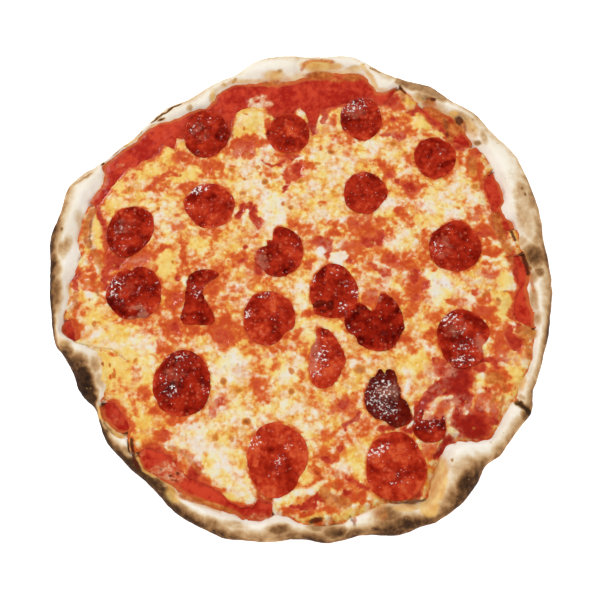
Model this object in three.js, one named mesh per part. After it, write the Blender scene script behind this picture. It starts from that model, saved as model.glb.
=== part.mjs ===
// A hand-stretched pizza with tomato sauce, melted mozzarella and slices of spicy salami.
// Millimetres, +Z up, origin on the table under the middle of the pizza.
// Angles are degrees, counted from +X towards +Y.

import * as THREE from 'three';

const { degToRad, euclideanModulo } = THREE.MathUtils;

// Crust: a flat base with a puffed rim round it.
const rimRadius = 165;
const rimHeight = 12;
const rimWidth = 12;
const leastRimWidth = 2.5;
const floorHeight = 5;
const rimTuck = 7; // how far the underside draws in below the widest part
const waistShare = 0.42; // level of the widest part, as a share of the rim's height
const crestShare = 0.5; // place of the crest between the outline and the inner foot
const rimSectors = 180;
const bellySteps = 3;
const flankSteps = 4;
const wallSteps = 4;

// Layers on the base, with a small gap between pieces that touch.
const layerGap = 0.3;
const sauceSetback = 0.6;
const sauceDepth = 1.2;
const cheeseSetback = 3;
const cheeseDepth = 2.4;
const cheeseEdgeDepth = 0.8;
const cheeseSectors = 120;
const cheeseRings = [0.95, 0.88, 0.8, 0.72, 0.64, 0.5, 0.3]; // shares of the cheese's radius
const sliceDepth = 2;
const sliceDish = 0.4; // how far the middle of a slice lies below its edge
const sliceRingShare = 0.6; // ring halfway in, which is almost as low as the middle
const sliceRingDish = 0.3;
const sliceBevel = 0.6;
const sliceSectors = 24;

const sauceBottom = floorHeight + layerGap;
const sauceTop = sauceBottom + sauceDepth;
const cheeseBottom = sauceTop + layerGap;
const cheeseTop = cheeseBottom + cheeseDepth;
const sliceBottom = cheeseTop + layerGap;

// Folds, lobes and dents of the rim: each moves the outline out, the crest up and the inner
// foot inwards, most at its own angle and less to either side. A fold that leans also moves
// the crest inwards (or outwards, below zero), as a share of the rim's width.
const rimFolds = [
  { at: 8, spread: 6, out: -1, up: 1, wide: 5.5 },
  { at: 20, spread: 7, out: 3, up: 1.5, wide: 10.5, lean: 0.1 },
  { at: 32, spread: 9, out: 7.5, up: 2, wide: 6, lean: 0.15 },
  { at: 46, spread: 6, out: 7, up: 0, wide: 1 },
  { at: 57, spread: 6, out: 5.5, up: 0, wide: -2 },
  { at: 68, spread: 5, out: 1, up: -1.5, wide: -0.5 },
  { at: 78, spread: 7, out: 6.5, up: 0.5, wide: -0.5, lean: -0.15 },
  { at: 95, spread: 9, out: 4, up: 1.5, wide: 6.5, lean: -0.15 },
  { at: 107, spread: 5, out: -4, up: -2, wide: -6 },
  { at: 118, spread: 8, out: -8, up: -3, wide: 1.5 },
  { at: 136, spread: 11, out: -9.5, up: -4.5, wide: -9.5 },
  { at: 146, spread: 5, out: -2.5, up: -2.5, wide: -5.5 },
  { at: 156, spread: 5, out: 4, up: 1, wide: 5 },
  { at: 169, spread: 8, out: 2, up: 3, wide: 12.5, lean: -0.1 },
  { at: 180, spread: 6, out: -2.5, up: 1, wide: 3 },
  { at: 190, spread: 5, out: -3, up: 1.5, wide: -3 },
  { at: 199, spread: 4, out: -4, up: 3.5, wide: 0.5 },
  { at: 206, spread: 6, out: -8, up: 2.5, wide: 17, lean: -0.2 },
  { at: 214, spread: 4, out: -8, up: -0.5, wide: -5 },
  { at: 219, spread: 4, out: -4, up: -3, wide: -6.5 },
  { at: 226, spread: 4, out: -3, up: 1, wide: 0 },
  { at: 234, spread: 6, out: -3, up: -2.5, wide: -7 },
  { at: 246, spread: 8, out: 3.5, up: 0, wide: 0 },
  { at: 256, spread: 7, out: 6.5, up: 2.5, wide: 1 },
  { at: 264, spread: 4, out: 2.5, up: 3.5, wide: 5 },
  { at: 276, spread: 7, out: 4.5, up: 2, wide: -1.5 },
  { at: 285, spread: 4, out: 1.5, up: 1, wide: 2.5 },
  { at: 290, spread: 5, out: 10, up: 6, wide: 9.5, lean: 0.1 },
  { at: 297.5, spread: 4, out: 7, up: -2, wide: 1 },
  { at: 302, spread: 5, out: 8.5, up: 3.5, wide: 7.5 },
  { at: 309, spread: 6, out: 5.5, up: 11, wide: 16, lean: 0.25 },
  { at: 317, spread: 4, out: 4, up: 1, wide: -1 },
  { at: 324, spread: 5, out: 4, up: 1, wide: 1.5 },
  { at: 330, spread: 3, out: 3, up: 0, wide: 1 },
  { at: 345, spread: 10, out: -0.5, up: 0, wide: -2 },
];

// Bays where the cheese stops short and the sauce shows between it and the rim.
const sauceBays = [
  { at: 12, spread: 5, depth: 3 },
  { at: 30, spread: 5, depth: 7 },
  { at: 47, spread: 8, depth: 7 },
  { at: 60, spread: 7, depth: 6 },
  { at: 82, spread: 9, depth: 27 },
  { at: 97, spread: 7, depth: 14 },
  { at: 108, spread: 6, depth: 14 },
  { at: 136, spread: 9, depth: 17 },
  { at: 157, spread: 3, depth: 5 },
  { at: 165, spread: 4, depth: 6 },
  { at: 191, spread: 4, depth: 5 },
  { at: 218, spread: 5, depth: 6 },
  { at: 234, spread: 7, depth: 15 },
  { at: 247, spread: 6, depth: 8 },
  { at: 260, spread: 5, depth: 8 },
  { at: 280, spread: 5, depth: 4 },
  { at: 322, spread: 9, depth: 28 },
  { at: 352, spread: 4, depth: 11 },
];

// Domes where the cheese puffed up while it baked.
const cheeseDomes = [
  { x: -34.5, y: 117, radius: 12, height: 3 },
  { x: 84, y: 114, radius: 8, height: 2.2 },
  { x: -86.5, y: 14, radius: 7, height: 2 },
  { x: 128, y: -17, radius: 9, height: 3 },
  { x: 88, y: -4, radius: 10, height: 1.5 },
  { x: -42, y: -70, radius: 9, height: 1.5 },
  { x: -45, y: -102, radius: 11, height: 1.5 },
  { x: 70, y: 30, radius: 12, height: 1.5 },
];

// Salami slices: middle, half width and half height, turn, and the dents of the outline
// (direction, spread, depth), where cheese covers an edge or the slice has curled.
const slices = [
  { x: -63.5, y: 106.5, across: 15.3, along: 18, turn: 0, dents: [] },
  { x: -7.5, y: 107, across: 14.7, along: 15.2, turn: 0, dents: [] },
  { x: 42.5, y: 118, across: 14.3, along: 16.3, turn: 0, dents: [] },
  { x: 92, y: 88.5, across: 14.2, along: 15.5, turn: 0, dents: [] },
  { x: 45, y: 61.5, across: 15.2, along: 15.5, turn: 0, dents: [] },
  { x: -60.5, y: 52.5, across: 16.5, along: 16.5, turn: 0, dents: [[10, 18, -2], [215, 30, 2]] },
  { x: -112, y: 34.5, across: 15, along: 18.5, turn: -25, dents: [] },
  { x: -13, y: 20, across: 15.5, along: 18, turn: 0, dents: [[131, 22, 6], [204, 14, -2]] },
  { x: 102, y: 24, across: 17.5, along: 18.5, turn: 0, dents: [] },
  { x: -107, y: -9.5, across: 18, along: 18.7, turn: 0, dents: [[100, 10, 2], [280, 12, 1.5]] },
  { x: -67, y: -12, across: 10, along: 18.5, turn: 0, dents: [[50, 16, -8], [0, 24, 6.5], [308, 18, -7]] },
  { x: -19.5, y: -26.5, across: 16.8, along: 18.3, turn: 0, dents: [[315, 16, 2.5]] },
  { x: 22.5, y: -8, across: 15.7, along: 18.3, turn: 0, dents: [[232, 8, -1.5], [322, 20, 1.5]] },
  { x: 49.5, y: -29.5, across: 18.3, along: 18.3, turn: 0, dents: [[92, 14, 7], [143, 18, 3.5]] },
  { x: 105, y: -40, across: 16.6, along: 19.8, turn: 0, dents: [[335, 16, 3.5]] },
  { x: 17.5, y: -54, across: 12, along: 19.3, turn: 0, dents: [[180, 40, 3.5]] },
  { x: -74, y: -70.5, across: 18.3, along: 21.8, turn: 0, dents: [] },
  { x: 55, y: -79, across: 14, along: 17, turn: 0, dents: [[312, 20, -6], [65, 10, 2], [92, 8, -2.5]] },
  { x: -14.5, y: -118, across: 17.8, along: 22.8, turn: 0, dents: [[322, 18, 2.5]] },
  { x: 59.5, y: -122.5, across: 18.7, along: 20.8, turn: 0, dents: [] },
  { x: 82, y: -97, across: 11, along: 11, turn: 0, dents: [[170, 25, 2]] },
];

// Unevenness of every slice's outline: waves round the edge, their height as a share of
// the radius, and how far they turn from one slice to the next, in radians.
const sliceWaves = [
  { count: 3, share: 0.025, turn: 1.7 },
  { count: 5, share: 0.015, turn: 2.9 },
];

const crustFinish = { color: '#e3d0b0', roughness: 0.9, metalness: 0 };
const sauceFinish = { color: '#b8291b', roughness: 0.35, metalness: 0 };
const cheeseFinish = { color: '#ebcb86', roughness: 0.45, metalness: 0 };
const salamiFinish = { color: '#9a2116', roughness: 0.4, metalness: 0 };

// A bell curve over the angle, one at its own place and fading to either side.
function swell(angle, at, spread) {
  const away = euclideanModulo(angle - at + 180, 360) - 180;
  return Math.exp(-((away / spread) ** 2));
}

function sumOf(list, angle, amount) {
  let total = 0;
  for (const item of list) {
    total += (item[amount] ?? 0) * swell(angle, item.at, item.spread);
  }
  return total;
}

function rimAt(angle) {
  return {
    radius: rimRadius + sumOf(rimFolds, angle, 'out'),
    height: rimHeight + sumOf(rimFolds, angle, 'up'),
    width: Math.max(leastRimWidth, rimWidth + sumOf(rimFolds, angle, 'wide')),
    crest: crestShare + sumOf(rimFolds, angle, 'lean'),
  };
}

// Radius where the rim's inner wall meets the flat base.
function floorRadius(angle) {
  const rim = rimAt(angle);
  return rim.radius - rim.width;
}

function cheeseRadius(angle) {
  return floorRadius(angle) - cheeseSetback - sumOf(sauceBays, angle, 'depth');
}

function domeHeight(radius, angle) {
  const x = radius * Math.cos(degToRad(angle));
  const y = radius * Math.sin(degToRad(angle));
  let height = 0;
  for (const dome of cheeseDomes) {
    const share = Math.hypot(x - dome.x, y - dome.y) / dome.radius;
    if (share < 1) {
      height += dome.height * (1 - share ** 2) ** 2;
    }
  }
  return height;
}

function sliceRadius(slice, number, angle) {
  const own = degToRad(angle - slice.turn);
  const oval = (slice.across * slice.along)
    / Math.hypot(slice.along * Math.cos(own), slice.across * Math.sin(own));
  let radius = oval;
  for (const wave of sliceWaves) {
    radius += oval * wave.share * Math.sin(wave.count * own + wave.turn * number);
  }
  for (const [at, spread, depth] of slice.dents) {
    radius -= depth * swell(angle, at, spread);
  }
  return radius;
}

// A lathe whose rings are each moved to the radius and level that the section has
// at that angle. A section starts and ends on the axis.
function shapedLathe(sectors, sectionAt) {
  const plainProfile = sectionAt(0).map(([radius, level]) => new THREE.Vector2(radius, level));
  const rings = plainProfile.length;
  const geometry = new THREE.LatheGeometry(plainProfile, sectors);
  const position = geometry.attributes.position;
  for (let sector = 0; sector <= sectors; sector += 1) {
    const angle = (360 * (sector % sectors)) / sectors;
    sectionAt(angle).forEach(([radius, level], ring) => {
      const x = radius * Math.cos(degToRad(angle));
      const y = radius * Math.sin(degToRad(angle));
      position.setXYZ(sector * rings + ring, x, y, level);
    });
  }
  geometry.computeVertexNormals();
  return geometry;
}

// The rim's section at one angle, from the middle of the underside round to the middle of the base.
function crustSection(angle) {
  const { radius, height, width, crest } = rimAt(angle);
  const crestBack = width * crest;
  const waist = height * waistShare;
  const section = [[0, 0]];
  for (let step = 0; step < bellySteps; step += 1) {
    const turn = (1 - step / bellySteps) * Math.PI / 2;
    section.push([radius - rimTuck * (1 - Math.cos(turn)), waist * (1 - Math.sin(turn))]);
  }
  for (let step = 0; step < flankSteps; step += 1) {
    const turn = (step / flankSteps) * Math.PI / 2;
    section.push([radius - crestBack * (1 - Math.cos(turn)), waist + (height - waist) * Math.sin(turn)]);
  }
  for (let step = 0; step <= wallSteps; step += 1) {
    const share = step / wallSteps;
    const fall = (1 + Math.cos(Math.PI * share)) / 2;
    section.push([
      radius - crestBack - (width - crestBack) * share,
      floorHeight + (height - floorHeight) * fall,
    ]);
  }
  section.push([0, floorHeight]);
  return section;
}

function sauceSection(angle) {
  const edge = floorRadius(angle) - sauceSetback;
  return [[0, sauceBottom], [edge, sauceBottom], [edge, sauceTop], [0, sauceTop]];
}

function cheeseSection(angle) {
  const edge = cheeseRadius(angle);
  const section = [
    [0, cheeseBottom],
    [edge, cheeseBottom],
    [edge, cheeseBottom + cheeseEdgeDepth],
  ];
  for (const share of cheeseRings) {
    const radius = edge * share;
    section.push([radius, cheeseTop + domeHeight(radius, angle)]);
  }
  section.push([0, cheeseTop]);
  return section;
}

function sliceSection(slice, number, angle) {
  const edge = sliceRadius(slice, number, angle);
  return [
    [0, 0],
    [edge - sliceBevel, 0],
    [edge, sliceDepth / 2],
    [edge - sliceBevel, sliceDepth],
    [edge * sliceRingShare, sliceDepth - sliceRingDish],
    [0, sliceDepth - sliceDish],
  ];
}

function piece(name, finish, geometry) {
  const mesh = new THREE.Mesh(geometry, new THREE.MeshStandardMaterial(finish));
  mesh.name = name;
  return mesh;
}

const pizza = new THREE.Group();
pizza.add(piece('crust', crustFinish, shapedLathe(rimSectors, crustSection)));
pizza.add(piece('tomato_sauce', sauceFinish, shapedLathe(rimSectors, sauceSection)));
pizza.add(piece('mozzarella', cheeseFinish, shapedLathe(cheeseSectors, cheeseSection)));

slices.forEach((slice, index) => {
  const number = index + 1;
  const name = `salami_${String(number).padStart(2, '0')}`;
  const geometry = shapedLathe(sliceSectors, (angle) => sliceSection(slice, number, angle));
  const salami = piece(name, salamiFinish, geometry);
  salami.position.set(slice.x, slice.y, sliceBottom);
  pizza.add(salami);
});

export default pizza;
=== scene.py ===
import math

import bpy
import numpy as np
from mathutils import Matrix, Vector


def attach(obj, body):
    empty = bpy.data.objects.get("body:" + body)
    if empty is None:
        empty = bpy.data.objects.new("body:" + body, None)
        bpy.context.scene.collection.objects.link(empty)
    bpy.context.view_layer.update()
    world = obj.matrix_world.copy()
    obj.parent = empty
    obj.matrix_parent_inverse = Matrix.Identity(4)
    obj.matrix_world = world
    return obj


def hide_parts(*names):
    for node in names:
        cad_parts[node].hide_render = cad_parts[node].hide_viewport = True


# Spicy salami pizza: crust, tomato sauce, mozzarella and 21 salami slices.
# Lengths are millimetres in the tables and metres in the scene, angles are degrees from +X.

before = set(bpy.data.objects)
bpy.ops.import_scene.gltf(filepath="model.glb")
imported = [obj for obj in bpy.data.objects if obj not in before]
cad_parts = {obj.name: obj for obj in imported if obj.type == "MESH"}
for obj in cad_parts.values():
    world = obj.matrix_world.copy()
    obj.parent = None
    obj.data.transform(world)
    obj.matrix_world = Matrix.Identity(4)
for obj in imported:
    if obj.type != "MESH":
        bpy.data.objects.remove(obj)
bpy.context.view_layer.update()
mm = 0.001


# Camera, set first because the marks on the crust are placed as they are seen from it
view = {"tilt": 70, "distance": 760, "aim": (0.5, -13, 6), "lens": 70.08, "sensor": 36, "markLevel": 9}

tilt = math.radians(view["tilt"])
eye = np.array(view["aim"]) + view["distance"] * np.array([0, -math.cos(tilt), math.sin(tilt)])
cameraData = bpy.data.cameras.new("photoCamera")
cameraData.lens = view["lens"]
cameraData.sensor_width = view["sensor"]
camera = bpy.data.objects.new("photoCamera", cameraData)
camera.location = Vector(eye) * mm
camera.rotation_euler = (math.pi / 2 - tilt, 0, 0)
bpy.context.scene.collection.objects.link(camera)
bpy.context.scene.camera = camera


def asSeen(points):
    # where the sight line through each point meets the level of the marks
    reach = (eye[2] - view["markLevel"]) / (eye[2] - points[:, 2])
    return eye[0] + (points[:, 0] - eye[0]) * reach, eye[1] + (points[:, 1] - eye[1]) * reach


# Unevenness and marks
def smooth(value):
    value = np.clip(value, 0, 1)
    return value * value * (3 - 2 * value)


def flatPoints(x, y):
    return np.stack([x, y, np.zeros_like(x)], axis=1)


def onCircle(radius, angle):
    return flatPoints(radius * np.cos(np.radians(angle)), radius * np.sin(np.radians(angle)))


def lumps(points, size, seed):
    # gradient noise from about -1 to 1
    rng = np.random.default_rng(seed)
    order = np.tile(rng.permutation(256), 2)
    slopes = rng.normal(size=(256, 3))
    slopes /= np.linalg.norm(slopes, axis=1)[:, None]
    cell = points / size
    corner = np.floor(cell).astype(int)
    part = cell - corner
    ease = part ** 3 * (part * (part * 6 - 15) + 10)
    total = np.zeros(len(points))
    for dx in (0, 1):
        for dy in (0, 1):
            for dz in (0, 1):
                step = np.array([dx, dy, dz])
                at = (corner + step) & 255
                slope = slopes[order[order[order[at[:, 0]] + at[:, 1]] + at[:, 2]]]
                share = np.prod(np.where(step, ease, 1 - ease), axis=1)
                total += share * np.sum((part - step) * slope, axis=1)
    return total * 1.7


def unevenness(points, layers, seed):
    # layers: size and height of the lumps
    return sum(high * lumps(points, size, seed + k) for k, (size, high) in enumerate(layers))


def strayed(x, y, wide, fine, seed):
    # shifts places a little, so that the marks get ragged edges
    layers = [(9, wide), (3.2, fine)]
    flat = flatPoints(x, y)
    return x + unevenness(flat, layers, seed), y + unevenness(flat, layers, seed + 2)


def spotField(x, y, spots, soft=0.5):
    # each spot: middle x and y, half sizes, amount, and its turn if it has one
    field = np.zeros_like(x)
    for spotX, spotY, halfX, halfY, amount, *turn in spots:
        angle = math.radians(sum(turn))
        along = ((x - spotX) * math.cos(angle) + (y - spotY) * math.sin(angle)) / halfX
        across = ((y - spotY) * math.cos(angle) - (x - spotX) * math.sin(angle)) / halfY
        field = np.maximum(field, amount * smooth((1 + soft - np.hypot(along, across)) / (2 * soft)))
    return field


def lineField(x, y, lines, soft=0.6):
    # each line: its points, half width, amount
    field = np.zeros_like(x)
    for line, halfWidth, amount in lines:
        away = np.full_like(x, 1e9)
        for (ax, ay), (bx, by) in zip(line, line[1:]):
            length = (bx - ax) ** 2 + (by - ay) ** 2
            share = np.clip(((x - ax) * (bx - ax) + (y - ay) * (by - ay)) / length, 0, 1)
            away = np.minimum(away, np.hypot(x - ax - share * (bx - ax), y - ay - share * (by - ay)))
        field = np.maximum(field, amount * smooth((1 + soft - away / halfWidth) / (2 * soft)))
    return field


def markField(x, y, table, kind, soft=0.5):
    # the spots and the lines of one kind of mark
    return np.maximum(spotField(x, y, table[kind], soft), lineField(x, y, table[kind + "Lines"]))


def lineRound(line, angle):
    # radius at an angle, eased from point to point of a closed line
    places = np.array([place for place, radius in line] + [line[0][0] + 360])
    radii = np.array([radius for place, radius in line] + [line[0][1]])
    at = angle % 360
    step = np.minimum(np.searchsorted(places, at, side="right"), len(line)) - 1
    share = smooth((at - places[step]) / (places[step + 1] - places[step]))
    return radii[step] + (radii[step + 1] - radii[step]) * share


def swell(angle, at, spread):
    away = (angle - at + 180) % 360 - 180
    return np.exp(-(away / spread) ** 2)


def swells(angle, bells):
    # each bell: angle, spread, amount
    return sum(amount * swell(angle, at, spread) for at, spread, amount in bells)


# Mesh helpers
def makePiece(name, points, faces, fields, material, node):
    mesh = bpy.data.meshes.new(name)
    mesh.from_pydata((points * mm).tolist(), [], faces)
    for field, values in fields.items():
        layer = mesh.attributes.new(field, "FLOAT", "POINT")
        layer.data.foreach_set("value", np.ascontiguousarray(values, dtype=np.float32))
    mesh.shade_smooth()
    mesh.set_sharp_from_angle(angle=math.radians(55))
    mesh.materials.append(material)
    piece = bpy.data.objects.new(name, mesh)
    bpy.context.scene.collection.objects.link(piece)
    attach(piece, "root")
    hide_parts(node)
    return piece


def turnedFaces(rings, sectors):
    # rings from the middle of the underside round to the middle of the top, with a point at each end
    faces = []
    for ring in range(rings - 1):
        low, high = ring * sectors, (ring + 1) * sectors
        for sector in range(sectors):
            after = (sector + 1) % sectors
            faces.append((low + sector, low + after, high + after, high + sector))
    bottom, top, last = rings * sectors, rings * sectors + 1, (rings - 1) * sectors
    for sector in range(sectors):
        after = (sector + 1) % sectors
        faces.append((bottom, after, sector))
        faces.append((top, last + sector, last + after))
    return faces


def turnedPoints(rings, angle):
    # each ring: its radii, its levels, and a number for the side of the piece that it is on
    radii, levels = [np.array([ring[k] for ring in rings]) for k in (0, 1)]
    x, y = radii * np.cos(np.radians(angle)), radii * np.sin(np.radians(angle))
    points = np.stack([x, y, levels], axis=2).reshape(-1, 3)
    ends = np.array([[0, 0, levels[0].mean()], [0, 0, levels[-1].mean()]])
    sides = np.array([ring[2] for ring in rings], float)
    return np.vstack([points, ends]), np.concatenate([np.repeat(sides, len(angle)), sides[[0, -1]]])


def turnedNormals(points, rings, sectors):
    grid = points[:rings * sectors].reshape(rings, sectors, 3)
    around = np.roll(grid, -1, axis=1) - np.roll(grid, 1, axis=1)
    along = np.gradient(grid, axis=0)
    normals = np.cross(around, along)
    normals /= np.maximum(np.linalg.norm(normals, axis=2), 1e-9)[:, :, None]
    return np.vstack([normals.reshape(-1, 3), [[0, 0, -1], [0, 0, 1]]])


def discGrid(cells):
    # a square grid bent into a disc: distance from the middle up to 1, angle, faces and edge loop
    side = np.linspace(-1, 1, cells + 1)
    u, v = np.meshgrid(side, side, indexing="ij")
    x, y = (u * np.sqrt(1 - v * v / 2)).ravel(), (v * np.sqrt(1 - u * u / 2)).ravel()
    index = np.arange((cells + 1) ** 2).reshape(cells + 1, cells + 1)
    faces = np.stack([index[:-1, :-1], index[1:, :-1], index[1:, 1:], index[:-1, 1:]], axis=2).reshape(-1, 4)
    edge = np.concatenate([index[:-1, 0], index[-1, :-1], index[:0:-1, -1], index[0, :0:-1]])
    return np.hypot(x, y), np.degrees(np.arctan2(y, x)), faces, edge


def closeBelow(points, faces, edge, level, values):
    # a skirt down to the level and a flat bottom, where the values are 0
    skirt = points[edge].copy()
    skirt[:, 2] = level
    first = len(points)
    middle = first + len(edge)
    allPoints = np.vstack([points, skirt, [[0, 0, level]]])
    allFaces = faces.tolist()
    for k in range(len(edge)):
        after = (k + 1) % len(edge)
        allFaces.append((first + k, first + after, int(edge[after]), int(edge[k])))
        allFaces.append((middle, first + after, first + k))
    fields = {name: np.concatenate([part, np.zeros(len(edge) + 1)]) for name, part in values.items()}
    return allPoints, allFaces, fields


# Shader helpers
lightLevel = 1.3  # a white floor comes out this bright, so colours are darkened by as much


def tint(code):
    parts = [int(code[k:k + 2], 16) / 255 for k in (1, 3, 5)]
    linear = [p / 12.92 if p <= 0.04045 else ((p + 0.055) / 1.055) ** 2.4 for p in parts]
    return (*[p / lightLevel for p in linear], 1)


def feed(tree, sockets, values):
    # links what comes out of another node, and sets a plain value on the socket itself
    for key, value in values.items():
        if isinstance(value, bpy.types.NodeSocket):
            tree.links.new(value, sockets[key])
        else:
            sockets[key].default_value = value


def addNode(tree, kind, inputs=None, **settings):
    node = tree.nodes.new(kind)
    for key, value in settings.items():
        setattr(node, key, value)
    feed(tree, node.inputs, inputs or {})
    return node


def position(tree):
    return addNode(tree, "ShaderNodeTexCoord").outputs["Object"]


def noise(tree, size, detail=2, rough=0.5, warp=0):
    values = {"Vector": position(tree), "Scale": 1000 / size, "Detail": detail, "Roughness": rough,
              "Distortion": warp}
    return addNode(tree, "ShaderNodeTexNoise", values).outputs["Fac"]


def calc(tree, operation, *values):
    return addNode(tree, "ShaderNodeMath", dict(enumerate(values)), operation=operation).outputs[0]


def vectorCalc(tree, operation, values):
    return addNode(tree, "ShaderNodeVectorMath", values, operation=operation).outputs[0]


def ripple(tree, *settings):
    # noise about zero
    return calc(tree, "SUBTRACT", noise(tree, *settings), 0.5)


def plus(tree, value, extra, gain):
    return calc(tree, "MULTIPLY_ADD", extra, gain, value)


def stretch(tree, value, low, high, toLow=0, toHigh=1):
    values = {"Value": value, "From Min": low, "From Max": high, "To Min": toLow, "To Max": toHigh}
    return addNode(tree, "ShaderNodeMapRange", values, interpolation_type="SMOOTHSTEP").outputs[0]


def blendColour(tree, share, first, second):
    return addNode(tree, "ShaderNodeMix", {0: share, 6: first, 7: second}, data_type="RGBA").outputs[2]


def cover(tree, colour, mask, strength, above):
    # lays another colour over the first
    return blendColour(tree, calc(tree, "MULTIPLY", mask, strength), colour, above)


def colourRamp(tree, value, steps):
    ramp = addNode(tree, "ShaderNodeValToRGB", {"Fac": value})
    while len(ramp.color_ramp.elements) < len(steps):
        ramp.color_ramp.elements.new(0.5)
    for element, (spot, code) in zip(ramp.color_ramp.elements, steps):
        element.position = spot
        element.color = tint(code)
    return ramp.outputs["Color"]


def field(tree, name):
    return addNode(tree, "ShaderNodeAttribute", attribute_name=name).outputs["Fac"]


def newGroup(name, inputs, outputs):
    group = bpy.data.node_groups.new(name, "ShaderNodeTree")
    for socket, value in inputs.items():
        made = group.interface.new_socket(socket, in_out="INPUT", socket_type="NodeSocketFloat")
        made.default_value = value
    for socket in outputs:
        group.interface.new_socket(socket, in_out="OUTPUT", socket_type="NodeSocketFloat")
    return group, group.nodes.new("NodeGroupInput").outputs, group.nodes.new("NodeGroupOutput").inputs


def placeGroup(tree, group, output, **values):
    return addNode(tree, "ShaderNodeGroup", values, node_tree=group).outputs[output]


def newMaterial(name):
    material = bpy.data.materials.new(name)
    material.use_nodes = True
    tree = material.node_tree
    return material, tree, tree.nodes["Principled BSDF"].inputs


def bumpNormal(tree, height, strength, distance):
    values = {"Height": height, "Strength": strength, "Distance": distance * mm}
    return addNode(tree, "ShaderNodeBump", values).outputs["Normal"]


# A mark with a ragged edge: the field is pushed up and down by noise, then cut at one half
raggedMark, given, result = newGroup(
    "raggedMark", {"Field": 0, "Scale": 300, "Wobble": 0.5, "Softness": 0.15}, ["Mask"])
values = {"Vector": position(raggedMark), "Scale": given["Scale"], "Detail": 4, "Roughness": 0.6}
wobble = addNode(raggedMark, "ShaderNodeTexNoise", values).outputs["Fac"]
pushed = plus(raggedMark, given["Field"], calc(raggedMark, "SUBTRACT", wobble, 0.5), given["Wobble"])
lowCut = calc(raggedMark, "SUBTRACT", 0.5, given["Softness"])
highCut = calc(raggedMark, "ADD", 0.5, given["Softness"])
feed(raggedMark, result, {"Mask": stretch(raggedMark, pushed, lowCut, highCut)})

# Small round specks, some cells only
specks, given, result = newGroup("specks", {"Scale": 200, "Share": 0.3, "Size": 0.35}, ["Mask"])
values = {"Vector": position(specks), "Scale": given["Scale"], "Randomness": 1}
cells = addNode(specks, "ShaderNodeTexVoronoi", values)
picked = addNode(specks, "ShaderNodeSeparateColor", {"Color": cells.outputs["Color"]}).outputs["Red"]
chosen = calc(specks, "LESS_THAN", picked, given["Share"])
inner = calc(specks, "MULTIPLY", given["Size"], 0.45)
spot = stretch(specks, cells.outputs["Distance"], given["Size"], inner)
feed(specks, result, {"Mask": calc(specks, "MULTIPLY", spot, chosen)})

# Melted curds: 0 in the middle of a lump, about 0.6 between lumps
curds, given, result = newGroup("curds", {"Scale": 240, "Warp": 0.004}, ["Edge"])
where = position(curds)
values = {"Vector": where, "Scale": given["Scale"], "Detail": 1}
warp = addNode(curds, "ShaderNodeTexNoise", values).outputs["Color"]
warp = vectorCalc(curds, "SUBTRACT", {0: warp, 1: (0.5, 0.5, 0.5)})
warp = vectorCalc(curds, "SCALE", {0: warp, "Scale": given["Warp"]})
where = vectorCalc(curds, "ADD", {0: where, 1: warp})
values = {"Vector": where, "Scale": given["Scale"], "Smoothness": 0.4}
lumpy = addNode(curds, "ShaderNodeTexVoronoi", values, feature="SMOOTH_F1")
feed(curds, result, {"Edge": lumpy.outputs["Distance"]})

# Grain of a surface: coarse and fine unevenness in one height
grain, given, result = newGroup("grain", {"Scale": 300, "Fine": 0.4}, ["Height"])
values = {"Vector": position(grain), "Scale": given["Scale"], "Detail": 2}
coarse = addNode(grain, "ShaderNodeTexNoise", values).outputs["Fac"]
values = {"Vector": position(grain), "Scale": calc(grain, "MULTIPLY", given["Scale"], 3.7), "Detail": 3}
fine = addNode(grain, "ShaderNodeTexNoise", values).outputs["Fac"]
feed(grain, result, {"Height": plus(grain, coarse, fine, given["Fine"])})


def ragged(tree, mark, scale, wobble, softness):
    return placeGroup(tree, raggedMark, "Mask", Field=mark, Scale=scale, Wobble=wobble, Softness=softness)


def dots(tree, scale, share, size):
    return placeGroup(tree, specks, "Mask", Scale=scale, Share=share, Size=size)


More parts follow.
